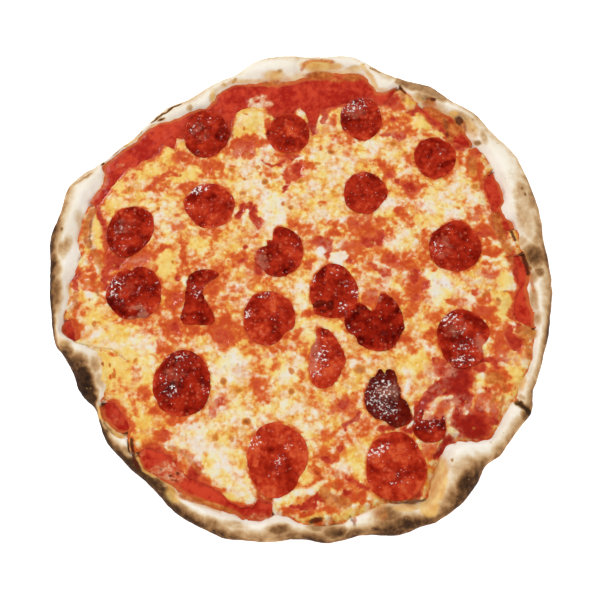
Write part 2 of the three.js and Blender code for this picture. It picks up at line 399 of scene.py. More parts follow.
# Marks baked on to crust, sauce and cheese alike: orange-brown glaze and burnt places; painted shade is part
# of both, in a band below the far rim and in dark lines along creases
bakedOnAndShade = {
    "glazeAndShade": [
        (22, -135.5, 2, 2, 0.7), (23, -128.5, 2, 2, 0.6), (-131.5, -30.5, 1.3, 2.5, 0.9),
        (-131, -9, 1.6, 3, 0.8, 10), (-138, 12, 2, 2, 0.6), (-146.5, -20, 2.5, 3, 0.5),
        (-138, -2, 2, 4, 0.6), (-131.5, -3, 3, 2, 0.5), (139, 15, 2.5, 4, 0.5, 10),
        (145.5, -36.5, 6.5, 5, 0.95), (129, -15.2, 1.3, 3.3, 1, 12), (133.5, -8, 2, 1, 0.7),
        (123, -66.5, 5.5, 4, 1), (129, -70, 3, 4, 0.5), (71.5, 135, 2, 5, 0.8, 10), (91, 131, 4, 5, 0.75),
        (112, 112, 3, 6, 0.85, 10), (106, 110, 5, 6, 0.8), (76, 127, 3, 4, 0.5), (117, 84, 3.5, 7, 0.75),
        (103, 103, 3, 4, 0.7), (14.5, 152, 10.5, 3.5, 1), (36.5, 150.5, 7, 3, 0.9),
        (-15, 146.8, 8, 1.6, 0.75, -8), (-20, 146, 6, 2.5, 0.8), (26, 148.5, 6, 2, 0.6),
        (83, -133, 3.6, 13, 0.4, -10), (50, -152.5, 5, 5, 0.45),
    ],
    "glazeAndShadeLines": [
        ([(15, -139), (19, -144), (29, -146)], 3.4, 1),
        ([(-145, -9), (-145.2, -14), (-144.5, -19)], 1.7, 0.9),
        ([(-137, 49.5), (-139.5, 43), (-140.7, 36), (-140.5, 29), (-138, 24)], 2.4, 0.9),
        ([(-135.5, 20), (-132.5, 15), (-130.5, 10)], 2.6, 0.7),
        ([(131, 45), (132, 36), (135, 28), (137.5, 21)], 3.4, 0.85),
        ([(150.3, 8), (151, 0), (152, -8)], 1.3, 0.7),
        ([(2, 157), (4, 162), (9, 164.5), (24, 163.5)], 1.5, 0.75),
        ([(145, -42), (146, -48), (147, -53)], 1.6, 0.8),
        ([(-131, -46), (-120, -47.5), (-113, -52), (-109, -55.5)], 0.9, 0.5),
        ([(119.5, -11.5), (124, -7)], 1.3, 0.7), ([(127, -69), (130, -75)], 1.2, 0.8),
        ([(123.5, -77), (121, -83)], 1, 0.9), ([(128.5, -78), (126.5, -86), (125.5, -93)], 1.1, 1),
        ([(110.5, -75), (111.5, -64)], 1.4, 0.5),
        ([(88, 129), (93.5, 122), (99.5, 117), (104, 109)], 4, 0.7),
        ([(-80, -111), (-72, -115), (-66, -120.5), (-61, -127)], 1.6, 0.65),
        ([(-72, -141.5), (-62, -144.5), (-50, -147.5), (-42, -150.5)], 1.6, 0.9),
    ],
    "charAndShade": [
        (10, -156.5, 5, 1.7, 1, 18), (5, -150.5, 3.4, 1.2, 0.45, 10), (109.5, 117, 2.6, 3.8, 1, 15),
        (92.5, 133.3, 2.2, 1.8, 1), (88.5, 134, 1.5, 1, 0.6), (100.5, 114, 2, 6, 0.5, 10),
        (101, 106.5, 1.6, 3, 0.6), (-74.5, -127.5, 1.5, 1.3, 0.85), (-78.5, -129, 1.4, 1.1, 0.85),
        (-76, -132, 2.4, 1, 0.6), (-85, -125, 1.2, 1.2, 0.5),
    ],
    # dark lines along creases of the dough: burnt, with painted shade in the creases
    "charAndShadeLines": [
        ([(9, -124.8), (14.5, -130.8)], 1, 0.5), ([(18, -154.5), (22, -157.5)], 0.9, 0.5),
        ([(31, -154), (34, -159)], 0.9, 0.55),
        ([(-138, 42), (-138.6, 36), (-138.5, 30), (-137.2, 25)], 0.8, 0.6),
        ([(-104, -106), (-103, -112), (-102, -118), (-99, -124)], 1.2, 1),
        ([(140.2, 34.5), (141.5, 30.5), (142.5, 28)], 1, 1), ([(147, 18), (148, 12), (149.7, 4.5)], 1.5, 1),
        ([(69.7, 144), (71.2, 140.5), (73, 138.5)], 0.9, 0.9),
    ],
}


def bakedOnAndShadeFields(points):
    x, y = strayed(*asSeen(points), 0.5, 0.5, 45)
    return {kind: markField(x, y, bakedOnAndShade, kind) for kind in ("glazeAndShade", "charAndShade")}


def addBakedOnAndShade(tree, colour):
    shades = [(0.35, "#a74d1c"), (0.5, "#c4692a"), (0.65, "#d98d48")]
    glaze = colourRamp(tree, noise(tree, 4, 3, 0.6), shades)
    # orange-brown glaze, with painted shade in a band below the far rim; then dark marks, with painted shade
    # along creases
    colour = cover(tree, colour, ragged(tree, field(tree, "glazeAndShade"), 280, 0.5, 0.4), 0.88, glaze)
    return cover(tree, colour, ragged(tree, field(tree, "charAndShade"), 450, 0.9, 0.4), 0.9, tint("#551a0c"))


# Crust: base and puffed rim in one piece
crustForm = {
    "radius": 165, "height": 12, "leastWidth": 2.5, "floor": 5, "tuck": 7, "waist": 0.42, "crest": 0.5,
    "sectors": 960, "bellySteps": 10, "flankSteps": 20, "wallSteps": 22,
    # angle, spread, outline out, crest up, lean of the crest
    "folds": [
        (8, 6, -1, 1, 0), (20, 7, 3, 1.5, 0.1), (32, 9, 7.5, 2, 0.15), (46, 6, 7, 0, 0), (57, 6, 5.5, 0, 0),
        (68, 5, 1, -1.5, 0), (78, 7, 6.5, 0.5, -0.15), (95, 9, 4, 1.5, -0.15), (107, 5, -4, -2, 0),
        (118, 8, -8, -3, 0), (136, 11, -9.5, -4.5, 0), (146, 5, -2.5, -2.5, 0), (156, 5, 4, 1, 0),
        (169, 8, 2, 3, -0.1), (180, 6, -2.5, 1, 0), (190, 5, -3, 1.5, 0), (199, 4, -4, 3.5, 0),
        (206, 6, -8, 2.5, -0.2), (207.3, 2, 1.4, 0, 0), (214, 4, -8, -0.5, 0), (219, 4, -4, -3, 0),
        (226, 4, -3, 1, 0), (234, 6, -3, -2.5, 0), (246, 8, 4.1, 0, 0), (256, 7, 6.5, 2.5, 0),
        (264, 4, 3, 3.5, 0), (277, 6, 5.3, 2, 0), (285.5, 4, 1, 1, 0), (290, 5, 9.5, 6, 0.1),
        (293, 2.5, 1.6, 0, 0), (297.5, 4, 8.5, -2, 0), (303, 5, 8.5, 3.5, 0), (309, 6, 5.8, 11, 0.12),
        (313.5, 2.5, -2, 0, 0), (317, 4, 4, 1, 0), (324, 5, 4, 1, 0), (329, 3, 4, 0, 0),
        (345, 10, -0.5, 0, 0),
    ],
    # angle and radius of the rim's inner foot
    "foot": [
        (0, 148), (3, 149), (7, 146.5), (9, 144.5), (14, 145.5), (16, 146), (18.5, 142.5), (21, 142.5),
        (23, 147.5), (25, 149.5), (28, 150.5), (32, 151.5), (36, 153), (39, 153), (42, 154.5), (46, 157.5),
        (49, 158.5), (52, 157), (55, 157), (57, 152.5), (59, 152), (61, 155), (63, 157.5), (65, 157),
        (67, 150), (69, 148.5), (71, 152.5), (73.5, 157.5), (76, 157.5), (80, 156), (84, 154), (88, 149.5),
        (92.5, 146.5), (95.5, 145.5), (98, 147), (101, 148.5), (104, 149.5), (107, 152), (110, 150.5),
        (112, 149), (114, 144), (116.5, 141), (119, 143), (124, 144.5), (127, 146), (130, 149.5),
        (133, 151.5), (136, 151), (137.5, 149), (139, 151), (142, 153.5), (146, 156.5), (148, 155.5),
        (150, 150), (152, 147.5), (155, 148.5), (158, 149.5), (160, 147.5), (169, 145.5), (171, 143),
        (172.5, 140.5), (175, 141.5), (178, 143.5), (181, 147.5), (184, 147), (187, 149), (190, 153.5),
        (193, 155.5), (195, 154), (197, 149.5), (199, 140.5), (201, 134.5), (204, 130), (207, 127),
        (210, 132), (212.5, 141), (214, 149), (217, 152), (221, 150.5), (223, 147.5), (225, 146),
        (227.6, 150), (229.7, 152), (231, 154.5), (232.5, 156.5), (236, 155), (240, 153.5), (244, 154.5),
        (250, 155.5), (255, 155), (258, 156.5), (261, 156.5), (263, 154), (265, 150.5), (267, 151.5),
        (270, 155), (276, 158.5), (279, 158), (281.5, 155), (287, 153), (290, 152.5), (293, 155.5),
        (296, 160), (298, 161), (300, 156), (302, 150.5), (304, 147), (307, 142.5), (310, 140.5),
        (312.5, 142), (314.5, 147), (316, 152.5), (319, 157), (322, 156), (325, 154), (328, 153.5),
        (330, 155.5), (334, 154.5), (337, 156), (340, 156), (344, 154), (350, 152.5), (355, 148.5),
        (358, 146.5),
    ],
    "relief": [(16, 0.55), (5.5, 0.32), (2.2, 0.12)],  # size and height of the unevenness
    # ridges and creases: line as seen, half width, height
    "ridges": [
        ([(-150, -43), (-136, -45), (-122, -50), (-108, -57)], 3.5, 1.6),
        ([(116, -60), (114, -68), (112, -75)], 2.5, 1.5), ([(-156, 33), (-154, 25)], 3, -1.2),
        ([(-104.5, -107), (-103, -117)], 1.6, -2.2), ([(137, -82.5), (143, -87)], 1.8, -3),
        ([(139, 36), (142, 29)], 1, -1), ([(146, 18), (147, 12), (149, 4)], 1.1, -1.4),
        ([(-139, 48), (-139, 35), (-137, 25)], 1.6, -1), ([(-1, 164), (-0.5, 152)], 2.2, -1.2),
        ([(9, -126), (14, -130), (17, -139)], 1.5, -1),
    ],
}

crustBakeAndShade = {
    "base": 0.1, "sideBase": 0.22, "sideGain": 0.7, "sideLimit": 0.72, "darkLimit": 0.9, "flourGain": 0.16,
    "patches": [(13, 0.4), (5, 0.3)],  # size and amount
    # how dark the outer side is, browning with painted shade: angle, spread, amount
    "sides": [
        (172, 12, 0.62), (188, 10, 0.85), (207, 8, 0.95), (219, 5, 0.4), (229, 7, 0.75), (241, 8, 0.65),
        (252, 7, 0.55), (271, 9, 0.5), (289, 9, 0.6), (307, 8, 0.6), (321, 7, 0.2), (336, 10, 0.4),
        (350, 9, 0.4), (5, 8, 0.4), (22, 7, 0.25), (56, 9, 0.35),
    ],
    # where the inner side is golden: angle, spread, amount
    "inners": [
        (84, 15, 0.8), (52, 14, 0.6), (112, 8, 0.5), (136, 12, 0.8), (166, 5, 0.5), (207, 10, 0.7),
        (222, 8, 0.7), (238, 10, 0.7), (286, 14, 0.8), (334, 10, 0.7), (8, 7, 0.5),
    ],
    "dark": [
        (-95, 118, 2.6, 1.3, 0.75, 25), (-75.5, 127, 2.4, 3, 0.42), (-133, 83.5, 1.4, 1, 0.85, 40),
        (-17, 152, 8.5, 4.5, 0.28), (-13.5, 156, 2.2, 2, 0.5), (-45, 148, 1.2, 2.6, 0.55, -20),
        (-52, 145, 2.2, 2, 0.4), (38, 159, 5, 2.2, 0.3, 10), (44.5, 161, 0.8, 0.8, 0.7),
        (14, 161.5, 13, 4.5, 0.4), (71, 141, 1.1, 3, 0.75, 15), (72.5, 139, 1.3, 1.2, 0.85),
        (87, 134.5, 8, 5, 0.5, -20), (118, 113, 6, 9, 0.34, 35), (150, 45, 7, 22, 0.36, 8),
        (147, 62, 5, 8, 0.36), (112, 119, 10, 5, 0.46, -40), (98, 127, 8, 5, 0.3, -40),
        (119, 109.5, 0.9, 0.9, 0.6), (119, 118, 1.4, 1.4, 0.5), (128, 109, 3, 2, 0.35, -45),
        (121.5, 99.5, 2.6, 2.2, 0.6), (135, 100, 1, 0.8, 0.5), (149, 65, 5, 9.5, 0.44, 10),
        (149.5, 65, 1.1, 1.3, 0.72), (151.5, 61.5, 0.8, 0.8, 0.85), (155, 56, 4, 5, 0.3),
        (157, 44, 2.8, 3, 0.42), (159, 33, 2, 4, 0.36), (145.5, 46, 0.7, 0.8, 0.7),
        (154.5, 17, 8, 9, 0.72, 10), (157, 28, 4, 7, 0.45), (157, 5, 4, 4, 0.6), (151, 8, 1, 1.6, 0.8, 10),
        (155, -24, 5, 3.5, 0.28), (157, -46, 2.5, 8, 0.3, -15), (-157.5, 36, 1, 2, 0.6),
        (-154, 22, 4, 9, 0.5, -10), (-146, 43, 4, 8, 0.28, 20), (-159, -9, 5, 16, 0.62, 4),
        (-157.5, 22, 3, 6, 0.5), (-137.5, -68, 7.5, 11, 1.1, 15), (-134, -74.5, 6, 6, 1.1, 30),
        (-131, -80, 4.5, 4, 1.1, -40), (-141, -57, 7, 7, 0.75, 25), (-148.5, -49, 4.5, 8, 0.66, 25),
        (-139.5, -72, 4, 6, 1.1, 15), (-124, -83.5, 0.7, 0.6, 0.7), (-124.5, -90, 2, 6, 0.5, 25),
        (-119.5, -101, 2.2, 1.4, 0.7, -50), (-108, -113, 4.5, 3, 0.5, -40),
        (-104, -110, 1.7, 4.2, 0.92, -10), (-101, -120, 3.5, 3, 0.72, -50), (-86, -132, 5, 2.2, 0.75, -25),
        (-79, -138, 4, 3, 0.75, -35), (-77, -133, 3, 2, 0.5, -30), (-65, -154.5, 13, 3.5, 0.6, -20),
        (-40, -159, 12, 3, 0.38, -10), (54, -153, 9, 5.5, 0.66), (67, -158.5, 15, 5.5, 0.82, 3),
        (78, -157, 7, 5, 0.75, 15), (22, -164, 9, 4.5, 0.75), (10, -161, 6, 3, 0.5), (153, 2, 3, 5, 0.45),
        (153, -27, 4, 5, 0.42), (98, -145, 5, 10, 0.76, -40), (109, -127, 4, 8, 0.32, -20),
        (124, -113, 4, 6, 0.52, -35), (126, 105, 3, 7, 0.4, 10), (107, 119, 9, 4, 0.42, -40),
        (-60, 136, 3, 5, 0.32), (148, 27, 4, 5, 0.4), (152, -13, 4, 10, 0.42), (-130, -58, 4, 6, 0.45, 15),
        (-126, -68, 4, 6, 0.4, 15), (142, -91, 4, 4, 0.7), (-12, -162, 8, 4, 0.68),
        (-53, -158, 8, 4, 0.56, -15), (94, -119, 1, 1, 0.6), (98, -125, 8, 6, 0.34, -20),
        (103, -133, 6.5, 11, 0.82, -35), (100, -141, 5, 10, 0.72, -45), (119, -108, 0.9, 0.9, 0.4),
        (140, -79, 3.5, 2, 0.4, -30), (147, -64, 2.5, 7, 0.22, -15),
    ],
    # dark lines; where they lie in creases they are painted shade
    "darkLines": [
        ([(-82, 130), (-94, 122.3), (-101, 115.5)], 0.7, 0.8), ([(-108, 108), (-127, 90.5)], 0.8, 0.5),
        ([(-140, 76.5), (-152, 68)], 0.9, 0.45), ([(4, 162), (7, 164), (14, 163.3), (20, 164)], 1.2, 0.42),
        ([(70, 148.5), (78, 144.5), (88, 141), (95, 137.5), (99, 134)], 4, 0.52),
        ([(-104, -121), (-98, -127.5), (-92, -131.5), (-86, -137), (-80, -143)], 4, 0.8),
        ([(50, 158.5), (56, 155)], 0.8, 0.5), ([(139, 36), (142, 29)], 0.9, 0.95),
        ([(146, 18), (147, 12), (149, 4.5)], 1.3, 0.92), ([(137, -82.5), (143, -87), (144, -90)], 1.9, 1),
        ([(-126, -88), (-121, -97), (-116, -102), (-111, -105)], 1, 0.5),
        ([(-100, -108), (-100, -117), (-96, -125), (-90, -128), (-82, -128.5)], 0.9, 0.42),
        ([(-120, -52), (-112, -56), (-107, -63)], 0.8, 0.38),
        ([(-164, 10), (-163, -10), (-160, -30)], 1.6, 0.5),
    ],
    # paler than the rest
    "flour": [
        (-149, 16, 8, 8, 1), (137, 88, 12, 16, 0.4, -30), (104, 129, 8, 5, 0.4, -30),
        (-30, 160, 16, 5, 0.4, 10), (-142, 57, 6, 10, 0.8, 25), (-134, 68, 5, 5, 0.6, 30),
        (148, 80, 5, 9, 0.6, 20), (147, -5, 3, 6, 0.8), (-28, -157, 7, 3.5, 0.8),
        (104, -110, 16, 6, 1, -10), (116, -115, 5, 3, 1, -20), (66, -147, 9, 2.5, 0.6),
        (37, -153, 4.5, 5, 0.5), (-113, -107, 5, 3, 0.6, -20), (-63, -146.5, 11, 2.5, 1, -20),
        (-75, -137, 5, 2.5, 1, -35), (41, -159, 5, 3, 1), (141, 50, 4, 12, 0.4), (147, 30, 4, 8, 0.3),
        (136, -88, 5, 4, 0.3), (-140, -46, 10, 1.6, 0.4, -8),
    ],
    # golden where oil has soaked in
    "oil": [
        (-60, 135, 2.2, 6, 0.7), (14, 157.5, 10, 4, 0.85), (38, 157, 8, 3, 0.6, 10),
        (106, 122.5, 3, 2.5, 1), (13, 160.5, 12, 4.5, 1), (26, 159.5, 5, 3, 0.8),
        (117, 110, 5, 9, 0.55, 20), (84, -122, 3, 10, 0.9), (-18, 152, 9, 5, 0.7), (82, 132, 4, 5, 0.4),
        (-119, -60, 7, 14, 0.7, 30), (26, -153, 6, 3, 0.9), (79, -148, 6, 6, 1.2),
        (85, -132, 6, 15, 1.1, -12), (66, -148, 10, 3, 0.8), (133, -80, 3.5, 3, 0.8), (148, -37, 6, 4, 0.7),
        (139, -68, 5, 7, 0.8), (-77, -141, 6, 4, 0.7, -45), (-5, 150, 14, 3, 0.5), (75, 133, 5, 6, 0.7),
        (115, 108, 4, 6, 0.4, 30), (-152, -42, 2, 5, 0.4, 30),
    ],
    "oilLines": [
        ([(-118, 98), (-107, 105), (-100, 112.5), (-90, 115)], 1.5, 0.7),
        ([(-135, 62), (-131, 72), (-130, 82)], 2, 0.5),
        ([(-125, -86), (-124, -92), (-119, -95.5), (-113, -103), (-110, -104.5)], 1.5, 0.9),
        ([(-104, -103.5), (-99, -105), (-95.5, -108)], 1.4, 0.9),
        ([(-100.5, -110), (-99.5, -117), (-96, -124), (-90, -128), (-84, -129.5), (-80, -133.5),
          (-76.5, -139.5)], 1.6, 1), ([(44, 160), (50, 152), (53, 143)], 2, 0.7),
        ([(-47, 147.5), (-25, 148)], 2.2, 0.6), ([(-150, -5), (-145, -14), (-150, -24)], 2.5, 0.5),
        ([(48, -144), (60, -145), (72, -147)], 1.5, 0.5), ([(-47, 147), (-60, 140)], 2, 0.5),
        ([(52, 142), (60, 141)], 2, 0.5), ([(-75, -140), (-62, -145.5), (-48, -149.5)], 2.4, 0.6),
    ],
    # orange from the sauce; the wide spots along the foot of the far rim are painted shade
    "stain": [
        (14, 152.5, 10.5, 3, 0.8), (38, 152, 8, 2, 0.7), (103, 113, 3, 8, 0.8, 10), (148, -36, 4, 2.5, 0.5),
        (33.5, -156, 1.5, 3, 0.7), (-17, 147, 7, 2, 0.4), (92, 128, 3, 5, 0.4), (-136, 18, 5, 5, 0.5),
        (-117, -66, 4, 4, 0.4),
    ],
    "stainLines": [
        ([(-138, 50), (-141, 42), (-139, 33), (-137, 24)], 2, 0.7),
        ([(146, 18), (147, 12), (149, 4.5)], 2.2, 0.6),
    ],
}


def rimAt(angle):
    form = crustForm
    radius, height, crest = form["radius"], form["height"], form["crest"]
    for at, spread, out, up, lean in form["folds"]:
        bell = swell(angle, at, spread)
        radius, height, crest = radius + out * bell, height + up * bell, crest + lean * bell
    return radius, height, np.maximum(form["leastWidth"], radius - lineRound(form["foot"], angle)), crest


def floorRadius(angle):
    radius, height, width, crest = rimAt(angle)
    return radius - width


def crestRadius(angle):
    radius, height, width, crest = rimAt(angle)
    return radius - width * crest


def wallLevel(distance, angle):
    # level of the inner wall at a distance from the middle
    radius, height, width, crest = rimAt(angle)
    top = radius - width * crest
    share = np.clip((top - distance) / (width * (1 - crest)), 0, 1)
    return crustForm["floor"] + (height - crustForm["floor"]) * (1 + np.cos(np.pi * share)) / 2


def makeCrust(material):
    form, bakeAndShade = crustForm, crustBakeAndShade
    sectors, floor, tuck = form["sectors"], form["floor"], form["tuck"]
    angle = np.arange(sectors) * 360 / sectors
    radius, height, width, crest = rimAt(angle)
    back, waist = width * crest, height * form["waist"]
    rings = []  # sides: 0 under, 1 outer side, 2 crest, 3 inner foot, 4 floor
    for share in (0.2, 0.5, 0.8, 0.93, 0.98):
        rings.append(((radius - tuck) * share, 0 * radius, 0))
    for step in range(form["bellySteps"]):
        share = step / form["bellySteps"]
        turn = (1 - share) * np.pi / 2
        rings.append((radius - tuck * (1 - np.cos(turn)), waist * (1 - np.sin(turn)), share))
    for step in range(form["flankSteps"]):
        share = step / form["flankSteps"]
        turn = share * np.pi / 2
        level = waist + (height - waist) * np.sin(turn)
        rings.append((radius - back * (1 - np.cos(turn)), level, 1 + share))
    for step in range(form["wallSteps"] + 1):
        share = step / form["wallSteps"]
        level = floor + (height - floor) * (1 + np.cos(np.pi * share)) / 2
        rings.append((radius - back - (width - back) * share, level, 2 + share))
    for share in (0.97, 0.9, 0.6, 0.3):
        rings.append(((radius - width) * share, 0 * radius + floor, 4))
    points, side = turnedPoints(rings, angle)
    around = np.concatenate([np.tile(angle, len(rings)), [0, 0]])

    # relief: unevenness of the dough, ridges and creases
    normals = turnedNormals(points, len(rings), sectors)
    shown = smooth(side / 0.6) * smooth((3.4 - side) / 0.4)
    lift = unevenness(points, form["relief"], 11)
    seenX, seenY = asSeen(points)
    farSide = (np.sin(np.radians(around)) > 0.2) & (side < 1.5)
    for line, halfWidth, high in form["ridges"]:
        ridge = lineField(seenX, seenY, [(line, halfWidth, abs(high))], 0.9)
        lift = lift + np.where(farSide, 0, ridge * np.sign(high))
    points = points + normals * (lift * shown)[:, None]
    points[:, 2] = np.maximum(points[:, 2], 0)

    # fields for the finish
    x, y = strayed(*asSeen(points), 0.6, 0.6, 31)
    hidden = farSide & (side < 1.2)
    # the outer side darkens towards the bottom: browning with painted shade, strongest on the near side
    outer = smooth(2.25 - side)
    dark = bakeAndShade["sideBase"] + bakeAndShade["sideGain"] * swells(around, bakeAndShade["sides"])
    patchy = 1.05 + unevenness(points, bakeAndShade["patches"], 33)
    browningAndShade = bakeAndShade["base"] + np.minimum(outer * dark * patchy, bakeAndShade["sideLimit"])
    marks = np.where(hidden, 0, markField(x, y, bakeAndShade, "dark", 0.75))
    browningAndShade = np.minimum(np.maximum(browningAndShade, marks), bakeAndShade["darkLimit"])
    browningAndShade = browningAndShade - bakeAndShade["flourGain"] * spotField(x, y, bakeAndShade["flour"])
    golden = swells(around, bakeAndShade["inners"]) * smooth((side - 2.2) / 0.6)
    oil = np.maximum(markField(x, y, bakeAndShade, "oil"), golden) * (side > 1.1)
    foot = smooth((side - 2.4) / 0.5) * (0.5 + 0.7 * lumps(points, 12, 37))
    stain = np.maximum(markField(x, y, bakeAndShade, "stain"), foot) * (side > 1.3)
    fields = {"browningAndShade": browningAndShade, "oil": oil, "stain": stain, **bakedOnAndShadeFields(points)}
    fields["glazeAndShade"] = np.where(side < 1.3, 0, fields["glazeAndShade"])
    fields["charAndShade"] = np.where(hidden, 0, fields["charAndShade"])
    faces = turnedFaces(len(rings), sectors)
    return makePiece("pizzaCrust", points, faces, fields, material, "crust")


def crustMaterial():
    material, tree, shader = newMaterial("bakedDough")
    browningAndShade = field(tree, "browningAndShade")
    spread = plus(tree, 0.08, browningAndShade, 0.5)
    browningAndShade = plus(tree, plus(tree, browningAndShade, ripple(tree, 14, 4, 0.6), 0.22), ripple(tree, 3, 3, 0.6), spread)
    colour = colourRamp(tree, browningAndShade, [(0, "#faf4e8"), (0.16, "#f0e5d1"), (0.3, "#dcc09a"), (0.42, "#c29a6c"),
                                      (0.6, "#8f643c"), (0.8, "#4d301a"), (1, "#24150c")])
    oil = ragged(tree, field(tree, "oil"), 220, 0.5, 0.4)
    soaked = colourRamp(tree, noise(tree, 6, 2), [(0.35, "#ecc474"), (0.65, "#e0a450")])
    colour = cover(tree, colour, oil, 0.88, soaked)
    # orange stain from the sauce, with painted shade along the foot of the far rim
    colour = cover(tree, colour, ragged(tree, field(tree, "stain"), 260, 0.5, 0.4), 0.85, tint("#c4621f"))
    flour = dots(tree, 900, 0.12, 0.4)
    colour = cover(tree, colour, flour, stretch(tree, browningAndShade, 0.2, 0.4, 0.35, 0), tint("#f4ecdf"))
    # darker specks: painted shade in small pores
    colour = cover(tree, colour, dots(tree, 420, 0.06, 0.3), 0.4, tint("#b48f62"))  # pores
    height = placeGroup(tree, grain, "Height", Scale=420, Fine=0.5)
    feed(tree, shader, {
        "Base Color": addBakedOnAndShade(tree, colour), "Roughness": stretch(tree, oil, 0, 1, 0.85, 0.45),
        "Specular IOR Level": 0.1, "Normal": bumpNormal(tree, height, 0.5, 0.5),
    })
    return material


# Line where the cheese ends: angle and radius; past the rim's foot the cheese lies against the rim
cheeseLine = [
    (0, 143), (3, 143.5), (6.5, 142), (8.5, 160), (13, 160), (14.5, 141), (17, 138), (20, 139.5),
    (24, 139.5), (28, 141), (30, 145), (32.5, 160), (36, 160), (38, 157), (40, 152), (42, 148.5),
    (44, 146.5), (46, 146.5), (49, 149), (52, 150), (55, 150.5), (57, 153), (59, 160), (63, 160),
    (64.3, 157), (65.2, 149), (66.2, 142.5), (68, 141), (70, 138), (74, 136), (76, 135), (80, 131.5),
    (83, 127), (85.3, 113), (87.2, 120), (88.5, 125.5), (89.6, 129), (91, 126.5), (92, 123), (96, 123.5),
    (97.4, 121), (98.3, 121.5), (99, 125.5), (100.2, 129.5), (102, 132), (105, 132.2), (107.2, 132.8),
    (109.2, 131.6), (111, 128.4), (112, 124), (113.2, 118), (116, 119.5), (119, 131), (122, 134),
    (127, 131), (129, 133.5), (131, 128.5), (133, 138), (135.5, 135), (139, 135), (142, 138), (145, 142),
    (148, 142.5), (151, 143), (155, 143.5), (157, 144), (158.3, 148), (159.6, 160), (188, 160),
    (190.5, 151), (193, 149), (195.5, 149.5), (198, 160), (212, 160), (213.5, 148), (215, 143.5),
    (219, 143.5), (222, 144), (224, 147), (226, 160), (227.4, 160), (228.3, 152), (229.5, 147),
    (231.5, 144), (233, 142), (236, 142.5), (239, 144.5), (242, 146.5), (245, 146.5), (248, 146),
    (251, 147.5), (254, 151), (257, 152), (259, 151), (260.5, 145), (262.5, 147), (264, 152), (266, 160),
    (290, 160), (292, 157.5), (294, 158.5), (296, 159.5), (299, 163), (301, 160), (346.5, 160), (348, 148),
    (349, 141.5), (353, 140.5), (356, 142), (358, 143.5),
]


def cheeseEdge(angle):
    calm = 1 - 0.9 * swell(angle, 105, 8)  # the dome there has an even edge
    return lineRound(cheeseLine, angle + calm * unevenness(onCircle(150, angle), [(9, 0.8), (3.4, 0.5)], 55))


def sauceShown(angle):
    # 1 where the sauce reaches the rim, 0 where the cheese does
    return smooth((floorRadius(angle) - cheeseEdge(angle)) / 3)


# Tomato sauce: the layer that shows between the cheese and the rim
sauceForm = {
    "cells": 230, "bottom": 5.3, "top": 6.5, "climb": 3, "underCheese": 3, "edgeDrop": 0.5,
    "film": 0.9, "sunk": 0.9,  # on the rim: depth of the film, and how far its edge sinks in
    "ragged": [(9, 1.1), (3.5, 0.66)], "relief": [(9, 0.3), (3.4, 0.24), (1.7, 0.12)],
    # scraps of cheese in the sauce
    "tissue": [
        (-33, 132, 2.8, 4.6, 1.4, 8), (-30, 136, 3.2, 2.4, 1.3, 20), (-25, 136.5, 3.4, 2.6, 1.3),
        (-21.5, 131, 3.4, 2.4, 1.4), (-28, 129.5, 7, 3, 1.6), (-25, 133, 3, 2.6, 1.2),
        (-88, -126, 4, 4, 0.9), (-115, -91, 4, 9, 0.5, 32), (-82, -124, 7, 5, 1, -20),
        (-75.5, -120, 4.5, 5, 1.2), (-74, -127, 5, 7, 0.85, 20), (-80, -130, 6, 3, 1, -30),
        (-121.5, 84, 4, 1.5, 0.8, 40), (50, 134, 3.5, 1.6, 0.8, -20), (56, 130, 4, 1.5, 0.6, -30),
        (-21, -155, 6, 2, 0.9), (-26, -153.5, 5, 2, 0.8), (18, 124, 5, 2, 0.5), (-98, -113, 3, 6, 0.6, -15),
    ],
}


def makeSauce(material):
    form = sauceForm
    share, angle, faces, edge = discGrid(form["cells"])
    climb = (form["underCheese"] + form["climb"]) * sauceShown(angle)
    reach = floorRadius(angle) - form["underCheese"] + climb
    reach = reach + unevenness(onCircle(150, angle), form["ragged"], 51)
    reach = np.minimum(reach, crestRadius(angle))
    points = onCircle(share * reach, angle)
    x, y = points[:, 0], points[:, 1]
    tissue = spotField(*strayed(x, y, 1.2, 1.2, 57), form["tissue"], 0.6)
    level = form["top"] + unevenness(points, form["relief"], 61)
    level = level + tissue * (0.35 + 0.3 * lumps(points, 2.4, 65))
    level = level - form["edgeDrop"] * smooth((share - 0.965) / 0.03)
    film = (form["sunk"] + form["film"]) * smooth((1 - share) / 0.03) - form["sunk"]
    points[:, 2] = np.maximum(level, wallLevel(share * reach, angle) + film)
    values = {"thin": smooth((share - 0.974) / 0.013), "tissue": tissue, **bakedOnAndShadeFields(points)}
    points, faces, fields = closeBelow(points, faces, edge, form["bottom"], values)
    return makePiece("pizzaSauce", points, faces, fields, material, "tomato_sauce")


def sauceMaterial():
    material, tree, shader = newMaterial("tomatoSauce")
    broad = calc(tree, "ADD", noise(tree, 17, 3, 0.55), ripple(tree, 4, 4, 0.6))
    colour = blendColour(tree, stretch(tree, broad, 0.3, 0.7), tint("#a81b0d"), tint("#ce4126"))
    colour = cover(tree, colour, dots(tree, 330, 0.3, 0.5), 0.3, tint("#cb4a2c"))  # pulp
    colour = cover(tree, colour, field(tree, "thin"), 0.7, tint("#d4703a"))
    milky = calc(tree, "MULTIPLY", plus(tree, noise(tree, 2.8, 3, 0.65), field(tree, "tissue"), 0.4), 0.75)
    shades = [(0.5, "#c13d25"), (0.62, "#d1693f"), (0.74, "#e2a780"), (0.86, "#f0dfc2")]
    scraps = ragged(tree, field(tree, "tissue"), 330, 1.5, 0.45)
    colour = cover(tree, colour, scraps, 0.85, colourRamp(tree, milky, shades))
    height = placeGroup(tree, grain, "Height", Scale=350, Fine=0.35)
    feed(tree, shader, {
        "Base Color": addBakedOnAndShade(tree, colour), "Roughness": 0.5, "Specular IOR Level": 0.05,
        "Coat Weight": 0.05, "Coat Roughness": 0.15, "Normal": bumpNormal(tree, height, 0.4, 0.6),
    })
    return material


